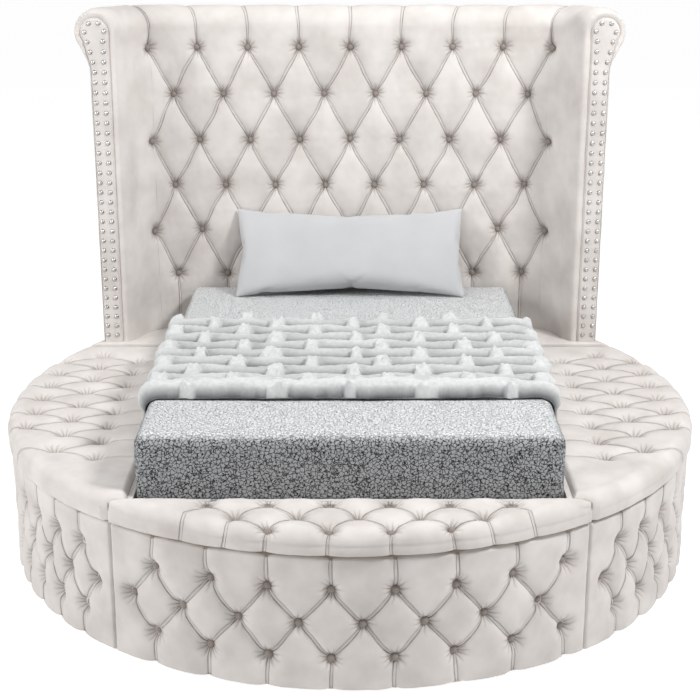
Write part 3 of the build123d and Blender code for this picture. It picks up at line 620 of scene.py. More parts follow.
def lid_cover(body, straight, stations, way, pleat_rule, seed):
    """A lid's velvet. The rows of its way say where across, along and up point in the frame."""
    name, way = body + "_pad", np.array(way)
    grid, flat, under = lid_grid(straight, stations)
    buttons = [tuple((np.array(place) @ way.T)[:2]) for place in islands(body + "_buttons")]
    pleats = lid_pleats(buttons, *pleat_rule)
    hint = np.zeros(grid.shape)
    hint[..., 2] = 1
    wall = grid[..., 2] < LID_TOP - RIM_ROUND * 0.6
    hint[wall] = grid[wall] * [1, 1, 0]
    board = np.where(grid[..., 0] < straight + BATTEN_ROOM, BATTEN_TOP, BOARD_TOP)
    room = np.where(wall, LID_DEEP * 2, np.clip(grid[..., 2] - board - LEAST_FOAM, 0, None))
    made = tufted(name + "_cover", body, grid @ way, hint @ way, flat, pleats, buttons, buttons,
                  LID_DEEP, LID_SOFT, under @ way, seed, room)
    return cover(made, body, "velvet", name)


print("lid top", round(LID_TOP, 3), "m high")

# %% Three lid covers
LID_STEP = 6 * MM
# The reach of a pleat, the least gap between rows, and how far the rim pleats lean outward
SIDE_PLEATS, FOOT_PLEATS = (195 * MM, 100 * MM, 0.0), (170 * MM, 50 * MM, 1.6)
side_low, side_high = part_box("right_lid_pad")
foot_half = foot_high.x - 1 * MM
side_stations = np.linspace(side_low.y, side_high.y, ceil((side_high.y - side_low.y) / LID_STEP))
foot_stations = np.linspace(-foot_half, foot_half, ceil(2 * foot_half / LID_STEP))
RIGHT_WAY = [(1, 0, 0), (0, 1, 0), (0, 0, 1)]
LEFT_WAY = [(-1, 0, 0), (0, 1, 0), (0, 0, 1)]
FOOT_WAY = [(0, -1, 0), (1, 0, 0), (0, 0, 1)]
lid_cover("right_lid", side_low.x, side_stations, RIGHT_WAY, SIDE_PLEATS, 21)
lid_cover("left_lid", side_low.x, side_stations, LEFT_WAY, SIDE_PLEATS, 22)
lid_cover("foot_lid", -foot_high.y, foot_stations, FOOT_WAY, FOOT_PLEATS, 23)

# %% [markdown]
# ## The corner between headboard and wings
#
# The centre panel and a wing meet at a fold, but foam and cloth bridge it, so the
# eye sees one hollow curve. Both surfaces are moved along the line that halves the
# corner until they lie on an arc that touches both, and the move fades as the roll
# turns back over the top.

# %% Rounding the corner
panel_low, panel_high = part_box("headboard_pad")
core_low, core_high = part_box("headboard_roll_core")
crown = panel_low.y
roll_y, roll_z = (core_low.y + core_high.y) / 2, (core_low.z + core_high.z) / 2
roll_rise = panel_high.z - roll_z
roll_depth = roll_y - crown
WING_TURN = radians(19)
# From the front of the headboard's board to the crown of its padding
CROWN_AHEAD = 58 * MM
mitre_slope = tan((pi / 2 - WING_TURN) / 2)
fold_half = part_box("headboard_board")[1].x - mitre_slope * CROWN_AHEAD
HALF_CORNER = (pi / 2 + WING_TURN) / 2
CORNER_REACH = 165 * MM
CORNER_WAY = np.array([-cos(HALF_CORNER), -sin(HALF_CORNER), 0])
corner_radius = CORNER_REACH * tan(HALF_CORNER)


def corner_fill(gap, height):
    """How far a surface moves out of the corner, at a gap from the fold and a height."""
    gap = np.clip(gap, 0, CORNER_REACH)
    arc = np.sqrt(np.clip(corner_radius**2 - (gap * sin(HALF_CORNER)) ** 2, 0, None))
    move = corner_radius / sin(HALF_CORNER) - gap * cos(HALF_CORNER) - arc
    over_roll = np.clip((height - roll_z) / roll_rise, 0, 1)
    return move * np.sqrt(1 - over_roll**2)


print("corner filled by", round(float(corner_fill(0, 1)) / MM), "mm at the fold")

# %% [markdown]
# ## Headboard
#
# The tall panel rises straight, then rolls back over a round core. Its layout is
# the width by the length of cloth measured up the panel and over the roll. At
# each side the panel meets a wing on a mitre, so it widens towards the back.

# %% Tufted headboard
PANEL_DEEP, PANEL_SOFT = 30 * MM, 88 * MM
PANEL_GRID = 6 * MM
PANEL_THICK, ROLL_THICK = 57.5 * MM, 30.5 * MM
ROLL_TURN = radians(225)
PANEL_REACH, PANEL_ROW_GAP = 245 * MM, 150 * MM
PANEL_PLEAT, END_PLEAT = (0.95, 0.45, 0.95), (0.95, 0.22, 0.2)
OVER_ROLL, TO_FOOT = 0.5, 0.3


def panel_rows():
    """Places up the panel and over its roll: (y, z, inward y, inward z, length of cloth, depth)."""
    heights = np.linspace(panel_low.z, roll_z, ceil((roll_z - panel_low.z) / PANEL_GRID))
    rows = [(crown, z, 1, 0, z, PANEL_THICK) for z in heights]
    for turn in np.linspace(0, ROLL_TURN, ceil(roll_rise * ROLL_TURN / PANEL_GRID))[1:]:
        step = np.array([roll_depth * cos(turn), -roll_rise * sin(turn)])
        inward = step / hypot(*step)
        # The padding gets thinner over the first sixth of the roll
        thick = PANEL_THICK - min(turn / ROLL_TURN * 6, 1) * (PANEL_THICK - ROLL_THICK)
        rows.append((roll_y - step[0], roll_z - step[1], *inward, roll_z + turn * roll_rise, thick))
    return np.array(rows)


panel_buttons = [(p[0], p[2]) for p in islands("headboard_buttons")]
button_rows = sorted({round(z, 3) for _, z in panel_buttons})
fold_rows = button_rows[1::2]


def make_headboard():
    """The centre panel with its six rows of buttons."""
    rows = panel_rows()
    share = np.linspace(-1, 1, ceil(2 * fold_half / PANEL_GRID))
    half = fold_half + mitre_slope * (rows[:, :1] - crown)
    grid = np.stack(np.broadcast_arrays(share * half, rows[:, :1], rows[:, 1:2]), -1)
    flat = np.stack(np.broadcast_arrays(share * fold_half, rows[:, 4:5]), -1)
    front = rows[:, :1] < roll_y
    move = corner_fill(fold_half - np.abs(flat[..., 0]), grid[..., 2]) * front
    sides = np.stack(np.broadcast_arrays(np.sign(share), move * 0 + 1, move * 0), -1)
    grid = grid + move[..., None] * CORNER_WAY * sides
    places = panel_buttons + [(sign * fold_half, z) for z in fold_rows for sign in (-1, 1)]
    pleats = [(a, b, PANEL_PLEAT) for a, b in joined(places, PANEL_REACH, 1, PANEL_ROW_GAP)]
    for row, run in ((button_rows[-1], OVER_ROLL), (button_rows[0], -TO_FOOT)):
        pleats += [((u, z), (u, z + run), END_PLEAT) for u, z in places if abs(z - row) < MM]
    hint = -np.stack([0 * rows[:, 2], rows[:, 2], rows[:, 3]], -1)[:, None, :]
    behind = rows[:, 0] + rows[:, 2] * rows[:, 5]
    back_half = fold_half + mitre_slope * (behind - crown)
    height = rows[:, 1] + rows[:, 3] * rows[:, 5]
    back = np.stack([np.stack([sign * back_half, behind, height], -1) for sign in (1, -1)], 1)
    made = tufted("headboard_cover", "base", grid, hint, flat, pleats, places, places, PANEL_DEEP,
                  PANEL_SOFT, back, 31)
    return cover(made, "base", "velvet", "headboard_pad")


make_headboard()

# %% [markdown]
# ## Wings
#
# Each wing is padded round its inner face, over a scroll at the top and down the
# outer face. Its outline runs from the foot of the inner face over the scroll to
# the foot of the outer face. It is drawn round a fat roll at the front, which frames
# the flat facing, and then repeated back along the splay to the mitre.

# %% Wing outline
facing_low, facing_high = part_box("right_wing_facing")
WING_FRONT = facing_low.y
scroll_x = facing_high.x - roll_rise
WING_DEPTH = 111.6 * MM / cos(WING_TURN)
wing_inner, wing_outer = scroll_x - roll_rise, scroll_x - roll_rise + WING_DEPTH
WING_FOOT = facing_low.z
ROLL_INSET, STRIP_INSET = 38 * MM, 10 * MM
WING_STEP = 8 * MM
STEM_TOP = roll_z - 139 * MM
ARC_END = radians(-35)
# Lengths of an outline's four parts: up the inner face, over the scroll, down its slant to the
# stem, and down the outer face
PARTS = (1.32, 0.34, 0.10, 1.18)


def arc_line(radius, turns):
    """Points (x, z) on an arc round the scroll's axis."""
    return [(scroll_x + radius * cos(turn), roll_z + radius * sin(turn)) for turn in turns]


def wing_outline(inset, outer_inset, spacing):
    """A wing's outline as (x, z) at its front, drawn in by one inset, and by another outside."""
    radius = roll_rise - inset
    outer = wing_outer - outer_inset
    inner_count, arc_count, slant_count, outer_count = (ceil(run / spacing) for run in PARTS)
    up = [(scroll_x - radius, z) for z in np.linspace(WING_FOOT, roll_z, inner_count)[:-1]]
    arc = arc_line(radius, np.linspace(pi, ARC_END, arc_count))
    stem_top = np.array([outer, STEM_TOP + (outer_inset - inset) * 0.5])
    slant = [tuple(point) for point in np.linspace(arc[-1], stem_top, slant_count)[1:]]
    down = [(outer, z) for z in np.linspace(stem_top[1], WING_FOOT, outer_count)[1:]]
    return np.array(up + arc + slant + down)


def wing_place(outline, back):
    """Points of an outline, a share of the way from the wing's front to the mitre."""
    slope = tan(WING_TURN)
    meet = (outline[:, 0] + slope * WING_FRONT - fold_half + mitre_slope * crown) / (slope + mitre_slope)
    y = WING_FRONT + back * (meet - WING_FRONT)
    return np.stack([outline[:, 0] - slope * (y - WING_FRONT), y, outline[:, 1]], -1)


print("wing outline", len(wing_outline(0, 0, WING_STEP)), "points")

# %% Wings
ROLL_STATIONS, SIDE_STATIONS = 20, 36
PUFF_PROUD = 1.5 * MM
SLOW_TURN = 55 * MM
ROLL_BULGE = 8 * MM
GATHER, GATHER_PITCH = 1.3 * MM, 17 * MM
MITRE_GAP = 0.4 * MM


def front_roll(whole, length):
    """Outlines from the facing's edge round the front roll, with their outward hints."""
    strip_start = len(whole) - ceil(PARTS[3] / WING_STEP)
    slant_start = strip_start - ceil(PARTS[2] / WING_STEP)
    on_strip = np.interp(np.arange(len(whole)), [slant_start, strip_start], [0, 1])
    half_width = (ROLL_INSET + on_strip * (STRIP_INSET - ROLL_INSET)) / 2
    # The roll turns quickly down to the facing and slowly into the wing's sides
    slow = (SLOW_TURN + on_strip * (STRIP_INSET / 2 - SLOW_TURN)) / half_width
    on_scroll = (whole[:, 1] > roll_z) & (whole[:, 0] > scroll_x - roll_rise * 0.6)
    gathers = GATHER * np.sin(2 * pi * length / GATHER_PITCH) * on_scroll
    centre = wing_place(wing_outline(ROLL_INSET / 2, STRIP_INSET / 2, WING_STEP), 0)
    centre[:, 1] += half_width + PUFF_PROUD
    sections, hints = [], []
    for turn in np.linspace(pi, 0, ROLL_STATIONS):
        inset = (1 - cos(turn)) / 2
        edge = (ROLL_INSET + ROLL_BULGE) * inset - ROLL_BULGE
        points = wing_place(wing_outline(edge, STRIP_INSET * inset, WING_STEP), 0)
        rise = (half_width + gathers * sin(turn)) * sin(turn)
        points[:, 1] = centre[:, 1] - rise
        if turn < pi / 2:
            points[:, 1] = centre[:, 1] - half_width + (half_width - rise) * slow
        points[:, 0] -= tan(WING_TURN) * (points[:, 1] - WING_FRONT) * (1 - inset)
        sections.append(points)
        hints.append(points - centre)
    return sections, hints


def wing_sections():
    """Outlines over the front roll and back to the mitre, their outward hints and their length."""
    whole = wing_outline(0, 0, WING_STEP)
    length = np.cumsum(np.hypot(*np.diff(whole, axis=0, prepend=whole[:1]).T))
    sections, hints = front_roll(whole, length)
    first, last = sections[-1], wing_place(whole, 1)
    last[:, 1] -= MITRE_GAP
    for share in np.linspace(0, 1, SIDE_STATIONS)[1:]:
        sections.append(first + share * (last - first))
        hints.append(hints[-1])
    # Beside the scroll outward is away from its axis, elsewhere from the middle of the stem
    grid, hints = np.array(sections), np.array(hints)
    axis = scroll_x - tan(WING_TURN) * (grid[..., 1] - WING_FRONT)
    beside_scroll = grid[..., 2] > roll_z - roll_rise
    middle = np.where(beside_scroll, axis, axis - roll_rise + WING_DEPTH / 2)
    above = np.clip(grid[..., 2] - roll_z, 0, None)
    sideways = np.stack([grid[..., 0] - middle, 0 * middle, above], -1)
    hints[ROLL_STATIONS:] = sideways[ROLL_STATIONS:]
    return grid, hints, length


def make_wing(side, sign, seed):
    """One wing's padding, with the pulls of the fold's buttons and of the panel's pleats."""
    grid, hint, length = wing_sections()
    run = np.linalg.norm(grid - grid[-1:], axis=2)
    flat = np.stack([run, np.broadcast_to(length + WING_FOOT, run.shape)], -1)
    inner_side = np.arange(grid.shape[1]) <= wing_outline(0, 0, WING_STEP)[:, 1].argmax()
    grid = grid + (corner_fill(run, grid[..., 2]) * inner_side)[..., None] * CORNER_WAY
    row_step = button_rows[1] - button_rows[0]
    column = fold_half - max(u for u, z in panel_buttons if abs(z - button_rows[0]) < MM)
    buttons = [(0, z) for z in fold_rows]
    pleats = []
    for z in fold_rows:
        pleats += [((0, z), (-column, z + step), PANEL_PLEAT) for step in (-row_step, row_step)]
    pleats.append(((0, fold_rows[-1]), (0, fold_rows[-1] + OVER_ROLL), END_PLEAT))
    inner = wing_outline(ROLL_INSET + 2 * MM, STRIP_INSET + 1 * MM, WING_STEP * 5)[::-1]
    start, finish = wing_place(inner, 0), wing_place(inner, 1)
    start[:, 1] += ROLL_INSET / 2 + PUFF_PROUD
    finish[:, 1] -= MITRE_GAP
    shares = np.clip((np.arange(len(grid)) - ROLL_STATIONS) / (SIDE_STATIONS - 2), 0, 1)
    back = start + shares[:, None, None] * (finish - start)
    mirror = np.array([sign, 1, 1])
    made = tufted(f"{side}_wing_cover", "base", grid * mirror, hint * mirror, flat, pleats, buttons, [],
                  PANEL_DEEP, PANEL_SOFT, back * mirror, seed)
    return cover(made, "base", "velvet", f"{side}_wing_pad")


make_wing("right", 1, 41)
make_wing("left", -1, 42)

# %% [markdown]
# ## Wing facings
#
# A flat crook of board, padded thinly and covered in the same velvet, closes each
# wing's front inside the roll. Its edge is rounded by a few shrinking outlines, and
# a flat face closes the last one.

# %% Facings
# How far in from the facing's outline, and how far behind the wing's front, in millimetres
FACING_EDGE = [(-6, 13), (-6, 9), (-1, 6), (-0.5, 1.2), (2, -0.8), (5, -1.2)]


def make_facing(side, sign):
    """The flat facing inside a wing's front roll."""
    rings = []
    for inset, depth in FACING_EDGE:
        x, z = wing_outline(ROLL_INSET + inset * MM, STRIP_INSET + inset * MM, WING_STEP).T
        rings.append(np.stack([x * sign, np.full(len(x), WING_FRONT + depth * MM), z], -1))
    made = skin(f"{side}_facing_cover", rings, velvet)
    return cover(made, "base", "velvet", f"{side}_wing_facing")


make_facing("right", 1)
make_facing("left", -1)

# %% [markdown]
# ## Covered buttons with Geometry Nodes
#
# A covered button is a metal dome wrapped in a scrap of the same velvet, pulled tight. It gets a darker copy
# of the velvet, which paints the shade of the pit that it sits in. There are over two hundred, all alike, so
# a node tree sets one dome on each point and turns it to the surface. One mesh is made for each body,
# because a lid's buttons move with the lid.


# %% Node tree helpers
def start_tree(name, inputs):
    """An empty Geometry Nodes tree with a geometry input, named inputs and a geometry output."""
    tree = bpy.data.node_groups.new(name, "GeometryNodeTree")
    tree.interface.new_socket("Geometry", in_out="INPUT", socket_type="NodeSocketGeometry")
    for title, kind in inputs.items():
        tree.interface.new_socket(title, in_out="INPUT", socket_type=f"NodeSocket{kind}")
    tree.interface.new_socket("Geometry", in_out="OUTPUT", socket_type="NodeSocketGeometry")
    return tree, add(tree, "NodeGroupInput").outputs


def finish_tree(tree, instances, material):
    """Ends a tree: instances are made real, smooth and given their material."""
    real = add(tree, "GeometryNodeRealizeInstances", {"Geometry": instances})
    smooth = add(tree, "GeometryNodeSetShadeSmooth", {"Geometry": real.outputs[0]})
    done = add(tree, "GeometryNodeSetMaterial", {"Geometry": smooth.outputs[0], "Material": material})
    add(tree, "NodeGroupOutput", {"Geometry": done.outputs[0]})


def grow(name, source, tree, values):
    """Runs a tree on a mesh or curve and keeps the result as a plain mesh object."""
    holder = put(name + "_source", source)
    modifier = holder.modifiers.new("grow", "NODES")
    modifier.node_group = tree
    for item in tree.interface.items_tree:
        if item.name in values:
            modifier[item.identifier] = values[item.name]
    made = put(name, applied(holder))
    print(name, len(made.data.polygons), "faces")
    return made


def applied(holder):
    """The mesh that an object's modifiers give. The object itself goes."""
    evaluated = holder.evaluated_get(bpy.context.evaluated_depsgraph_get())
    mesh = bpy.data.meshes.new_from_object(evaluated)
    bpy.data.objects.remove(holder)
    return mesh


DOME_INPUTS = {"Diameter": "Float", "Height": "Float", "Material": "Material"}


def add_dome(tree, given, segments, rings, flat_axis):
    """A ball of the given diameter, flattened along one axis to a dome of the given height."""
    radius = add(tree, MATH, {0: given["Diameter"], 1: 2.0}, operation="DIVIDE").outputs[0]
    ball = add(tree, "GeometryNodeMeshUVSphere", {"Segments": segments, "Rings": rings, "Radius": radius})
    flatter = add(tree, MATH, {0: given["Height"], 1: radius}, operation="DIVIDE").outputs[0]
    scale = add(tree, "ShaderNodeCombineXYZ", {"X": 1.0, "Y": 1.0, "Z": 1.0, flat_axis: flatter})
    dome = add(tree, "GeometryNodeTransform", {"Geometry": ball.outputs[0], "Scale": scale.outputs[0]})
    return dome.outputs[0]


print("tree helpers ready")


# %% Button tree
def make_button_tree():
    """A dome on each point, turned to the direction that the point carries."""
    tree, given = start_tree("covered buttons", DOME_INPUTS)
    dome = add_dome(tree, given, 20, 12, "Z")
    facing = add(tree, "GeometryNodeInputNamedAttribute", {"Name": "facing"}, data_type="FLOAT_VECTOR")
    turned = add(tree, "FunctionNodeAlignRotationToVector", {"Vector": facing.outputs[0]}, axis="Z")
    placed = add(tree, "GeometryNodeInstanceOnPoints",
                 {"Points": given["Geometry"], "Instance": dome, "Rotation": turned.outputs[0]})
    finish_tree(tree, placed.outputs[0], given["Material"])
    return tree


BUTTON, BUTTON_HEIGHT = 29 * MM, 12 * MM
button_tree = make_button_tree()
for body, places in seats.items():
    points = bpy.data.meshes.new(body + "_seats")
    points.from_pydata([list(place) for place, _ in places], [], [])
    facing = points.attributes.new("facing", "FLOAT_VECTOR", "POINT")
    facing.data.foreach_set("vector", np.array([way for _, way in places], np.float32).ravel())
    buttons = grow(body + "_covered_buttons", points, button_tree,
                   {"Diameter": BUTTON, "Height": BUTTON_HEIGHT, "Material": button_velvet})
    stands_for = [node for node in nodes if node.endswith("_buttons") and nodes[node]["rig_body"] == body]
    cover(buttons, body, "button_velvet", *stands_for, fill=None)

# %% [markdown]
# ## Nail trim
#
# Decorative nails with polished domes hold the facing. They are driven in along
# one line that climbs the inner edge, goes round the scroll and comes back down
# the outer edge. The line is drawn from straight runs and an arc, and a node tree
# spaces the nails evenly along it.


# %% Nail metal and tree
def make_nail_metal():
    """Nickel-plated steel, domed by stamping: a bright crown, softly reflecting, and a rim painted dark, as
    shade and a dark reflection.
    """
    material, tree = start_material("nickel-plated steel, domed")
    place = add(tree, COORDINATES).outputs["Object"]
    wear = add(tree, NOISE, {"Vector": place, "Scale": 1 / (9 * MM), "Detail": 4.0}).outputs[0]
    bright = add(tree, MIX, {0: wear, 6: linear("D2D0CD"), 7: linear("F4F3F1")}, data_type="RGBA")
    # Every head faces the foot of the bed (-Y), so the normal tells its crown from its rim, and the rim is
    # painted dark, as painted shade and painted reflection
    normal = add(tree, "ShaderNodeNewGeometry").outputs["Normal"]
    to_foot = add(tree, "ShaderNodeSeparateXYZ", {0: normal}).outputs["Y"]
    on_crown = add(tree, REMAP, {"Value": to_foot, "From Min": -0.5, "From Max": -0.85}).outputs[0]
    colour = add(tree, MIX, {0: on_crown, 6: linear("5A5856"), 7: bright.outputs[2]}, data_type="RGBA")
    rough = add(tree, REMAP, {"Value": wear, "To Min": 0.28, "To Max": 0.45}).outputs[0]
    finish_material(tree, {"Base Color": colour.outputs[2], "Roughness": rough, "Metallic": 1.0})
    return material


def make_nail_tree():
    """Domes spaced along a curve, all turned to the front."""
    tree, given = start_tree("nail trim", {"Pitch": "Float"} | DOME_INPUTS)
    spaced = add(tree, "GeometryNodeCurveToPoints",
                 {"Curve": given["Geometry"], "Length": given["Pitch"]}, mode="LENGTH")
    placed = add(tree, "GeometryNodeInstanceOnPoints",
                 {"Points": spaced.outputs[0], "Instance": add_dome(tree, given, 16, 10, "Y")})
    finish_tree(tree, placed.outputs[0], given["Material"])
    return tree


nail_metal = make_nail_metal()
nail_tree = make_nail_tree()
print("made", nail_metal.name)

# %% Nail lines
NAIL, NAIL_HEIGHT = 18 * MM, 6 * MM
NAIL_PITCH = 41.5 * MM
NAIL_LOW = 600 * MM
NAIL_AHEAD = 1.5 * MM
INNER_LINE, OUTER_LINE = 18 * MM, 12 * MM


def nail_line(side, sign):
    """One wing's nails, along a line a set way in from the facing's edge."""
    inner = wing_inner + ROLL_INSET + INNER_LINE
    outer = wing_outer - STRIP_INSET - OUTER_LINE
    radius = roll_rise - ROLL_INSET - INNER_LINE * 0.6
    start_turn = pi + atan2(sqrt(radius**2 - (scroll_x - inner) ** 2), scroll_x - inner)
    line = [(inner, NAIL_LOW), *arc_line(radius, np.linspace(start_turn, ARC_END, 48))]
    line += [(outer, STEM_TOP - 6 * MM), (outer, NAIL_LOW)]
    curve = bpy.data.curves.new(f"{side}_nail_line", "CURVE")
    curve.dimensions = "3D"
    path = curve.splines.new("POLY")
    path.points.add(len(line) - 1)
    for point, (x, z) in zip(path.points, line):
        point.co = (sign * x, WING_FRONT - NAIL_AHEAD, z, 1)
    nails = grow(f"{side}_nail_trim", curve, nail_tree,
                 {"Pitch": NAIL_PITCH, "Diameter": NAIL, "Height": NAIL_HEIGHT, "Material": nail_metal})
    return cover(nails, "base", "hinge_steel", fill=None)


nail_line("right", 1)
nail_line("left", -1)

# %% [markdown]
# ## Plain velvet pads
#
# The corners behind the side lids and the plinths under the wings are padded but
# not tufted. The CAD solid has their outline, so a copy of it is merged, rebuilt
# with an even skin by a voxel remesh, which also rounds its edges, and smoothed.


# %% Pads from the frame's own solids
PAD_VOXEL, PAD_PASSES = 9 * MM, 6


def soft_copy(node):
    """A rounded velvet skin in the place of one plain padded solid."""
    holder = put(node + "_holder", settled(node + "_cover", merged(node)))
    remesh = holder.modifiers.new("remesh", "REMESH")
    remesh.mode, remesh.voxel_size = "VOXEL", PAD_VOXEL
    smooth = holder.modifiers.new("smooth", "SMOOTH")
    smooth.factor, smooth.iterations = 0.5, PAD_PASSES
    made = finish_mesh(node + "_cover", applied(holder), velvet)
    return cover(made, "base", "velvet", node, fill=0.8)


for side in ("left", "right"):
    soft_copy(f"{side}_rear_corner_pad")
    soft_copy(f"{side}_plinth_pad")

# %% [markdown]
# ## Mattress in a fleece cover
#
# The mattress is a foam block in a looped fleece cover. Seen along its side the fleece is a field of curls a
# centimetre wide with dark gaps between them, and seen from above the curls close up and look paler. Both
# are painted: the dark of the gaps is painted shadow, and the sides are painted darker than the top, as
# painted shade. A cell pattern gives the curls, and the direction of the surface mixes the two looks.


# %% Fleece material
def make_fleece():
    """Looped polyester fleece: rounded curls with shadow between them."""
    material, tree = start_material("looped fleece, grey")
    place = add(tree, COORDINATES).outputs["Object"]
    stir = add(tree, NOISE, {"Vector": place, "Scale": 1 / (9 * MM), "Detail": 2.0}).outputs["Color"]
    moved = add(tree, MIX, {0: 0.016, 4: place, 5: stir}, data_type="VECTOR").outputs[1]
    cells = add(tree, "ShaderNodeTexVoronoi",
                {"Vector": moved, "Scale": 1 / (12.5 * MM), "Randomness": 1.0}, feature="DISTANCE_TO_EDGE")
    curl = add(tree, REMAP, {"Value": cells.outputs["Distance"],
                             "From Min": 0.025, "From Max": 0.085}).outputs[0]
    # The near-black between the curls on the sides is painted shadow
    side = add(tree, MIX, {0: curl, 6: linear("0E0F11"), 7: linear("A6A8AA")}, data_type="RGBA")
    tufts = add(tree, NOISE, {"Vector": place, "Scale": 1 / (6 * MM), "Detail": 3.0}).outputs[0]
    speck = add(tree, REMAP, {"Value": tufts, "From Min": 0.34, "From Max": 0.44}).outputs[0]
    top = add(tree, MIX, {0: speck, 6: linear("8A8C8E"), 7: linear("DFE1E2")}, data_type="RGBA")
    # Seen from above the curls close up, so the upward part of the normal mixes the two looks: painted shade
    # on the sides, the paler top above
    normal = add(tree, "ShaderNodeNewGeometry").outputs["Normal"]
    upward = add(tree, "ShaderNodeSeparateXYZ", {0: normal}).outputs["Z"]
    above = add(tree, REMAP, {"Value": upward, "From Min": 0.55, "From Max": 0.95}).outputs[0]
    colour = add(tree, MIX, {0: above, 6: side.outputs[2], 7: top.outputs[2]}, data_type="RGBA")
    bump = add(tree, BUMP, {"Height": curl, "Strength": 1.0, "Distance": 5 * MM}).outputs[0]
    fuzz = add(tree, NOISE, {"Vector": place, "Scale": 1 / (4 * MM), "Detail": 3.0}).outputs[0]
    fine = add(tree, BUMP, {"Height": fuzz, "Strength": 0.5, "Distance": 2 * MM, "Normal": bump})
    finish_material(tree, {"Base Color": colour.outputs[2], "Roughness": 0.95, "Specular IOR Level": 0.1,
                           "Sheen Weight": 0.2, "Normal": fine.outputs[0]})
    return material


fleece = make_fleece()
print("made", fleece.name)


# %% Mattress
def spaced_out(low, high, edge, step):
    """Places along one axis, close together near both ends and a step apart between them."""
    ends = np.linspace(0, edge, 8)
    middle = np.linspace(low + edge, high - edge, ceil((high - low - 2 * edge) / step))
    return np.concatenate([low + ends[:-1], middle, high - ends[::-1][1:]])


def rounded_block(name, low, high, radius, step, material):
    """A block with rounded edges: a box grid whose points are pushed out from an inner box."""
    axes = [spaced_out(low[axis], high[axis], radius, step) for axis in range(3)]
    shell = bmesh.new()
    for axis in range(3):
        first, second = axes[(axis + 1) % 3], axes[(axis + 2) % 3]
        for level in (low[axis], high[axis]):
            corners = []
            for a in first:
                points = np.empty((len(second), 3))
                points[:, axis], points[:, (axis + 1) % 3], points[:, (axis + 2) % 3] = level, a, second
                corners.append([shell.verts.new(point) for point in points])
            for row, above in zip(corners, corners[1:]):
                for place in range(len(row) - 1):
                    shell.faces.new((row[place], row[place + 1], above[place + 1], above[place]))
    bmesh.ops.remove_doubles(shell, verts=shell.verts, dist=0.1 * MM)
    low, high = np.array(low), np.array(high)
    places = np.array([vert.co[:] for vert in shell.verts])
    inner = np.clip(places, low + radius, high - radius)
    out = places - inner
    out /= np.linalg.norm(out, axis=1, keepdims=True) + 1e-9
    soft = 1.5 * MM * ripple(places[:, :2] + places[:, 2:] * 0.7, 220 * MM, 51)
    places = inner + out * (radius - 2 * MM + soft[:, None])
    for vert, place in zip(shell.verts, places):
        vert.co = place
    return finish_mesh(name, settled(name, shell), material)


MATTRESS_ROUND, MATTRESS_GRID = 42 * MM, 16 * MM
mattress = rounded_block("mattress_cover", *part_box("mattress"), MATTRESS_ROUND, MATTRESS_GRID, fleece)
cover(mattress, "base", "sherpa", "mattress", fill=0.95)

# %% [markdown]
# ## Pillow by cloth simulation
#
# A pillow is two flat panels sewn round their edge and stuffed. Simulating exactly
# that gives the pointed corners, the hollow edges and the small creases along the
# seams, which are hard to draw by hand. The flat case is a little larger than the
# finished pillow, because stuffing draws the edges in.


# %% Pillow cotton
def make_cotton():
    """Plain-woven cotton, pale grey-white, with a fine weave and a faint cool tone."""
    material, tree = start_material("plain-woven cotton")
    place = add(tree, COORDINATES).outputs["Object"]
    tone = add(tree, NOISE, {"Vector": place, "Scale": 1 / (120 * MM), "Detail": 2.0}).outputs[0]
    colour = add(tree, MIX, {0: tone, 6: linear("B6B7B9"), 7: linear("C3C4C6")}, data_type="RGBA")
    # The weave is 0.4 mm apart in the real cloth, too fine to show, so it is drawn at 2.5 mm
    weave = add(tree, NOISE, {"Vector": place, "Scale": 1 / (2.5 * MM), "Detail": 2.0}).outputs[0]
    bump = add(tree, BUMP, {"Height": weave, "Strength": 0.15, "Distance": 0.8 * MM}).outputs[0]
    finish_material(tree, {"Base Color": colour.outputs[2], "Roughness": 0.8, "Sheen Weight": 0.15,
                           "Normal": bump})
    return material


cotton = make_cotton()
print("made", cotton.name)

# %% Pillow
PILLOW_SIZE = np.array([0.990, 0.415, 0.150])
PILLOW_LEAN = radians(58)
CASE_SHARE = (1.04, 1.10)
CASE_CELL = 11 * MM
LENS_THICK = 120 * MM


def flat_case():
    """Two flat panels joined round their edge, a few millimetres apart."""
    wide, high = PILLOW_SIZE[0] * CASE_SHARE[0], PILLOW_SIZE[1] * CASE_SHARE[1]
    columns, rows = ceil(wide / CASE_CELL), ceil(high / CASE_CELL)
    shell = bmesh.new()
    for level in (-1, 1):
        net = []
        for row in range(rows + 1):
            y = (row / rows - 0.5) * high
            net.append([])
            for column in range(columns + 1):
                x = (column / columns - 0.5) * wide
                on_edge = row in (0, rows) or column in (0, columns)
                net[-1].append(shell.verts.new((x, y, 0 if on_edge else level * 3 * MM)))
        for low_row, high_row in zip(net, net[1:]):
            for place in range(columns):
                face = (low_row[place], low_row[place + 1], high_row[place + 1], high_row[place])
                shell.faces.new(face if level > 0 else face[::-1])
    bmesh.ops.remove_doubles(shell, verts=shell.verts, dist=0.1 * MM)
    return settled("pillow_case", shell)


def stuff(case):
    """Blows the case up with cloth pressure and gives back its points."""
    holder = put("pillow_holder", case)
    cloth = holder.modifiers.new("cloth", "CLOTH")
    cloth.settings.quality = 8
    cloth.settings.mass = 0.3
    cloth.settings.tension_stiffness = cloth.settings.compression_stiffness = 25
    cloth.settings.bending_stiffness = 0.7
    cloth.settings.use_pressure = True
    cloth.settings.uniform_pressure_force = 1.4
    cloth.settings.effector_weights.gravity = 0
    cloth.point_cache.frame_end = 20
    for step in range(1, 18):
        bpy.context.scene.frame_set(step)
    evaluated = holder.evaluated_get(bpy.context.evaluated_depsgraph_get())
    places = np.array([vert.co[:] for vert in evaluated.to_mesh().vertices])
    evaluated.to_mesh_clear()
    bpy.data.objects.remove(holder)
    bpy.context.scene.frame_set(1)
    return places


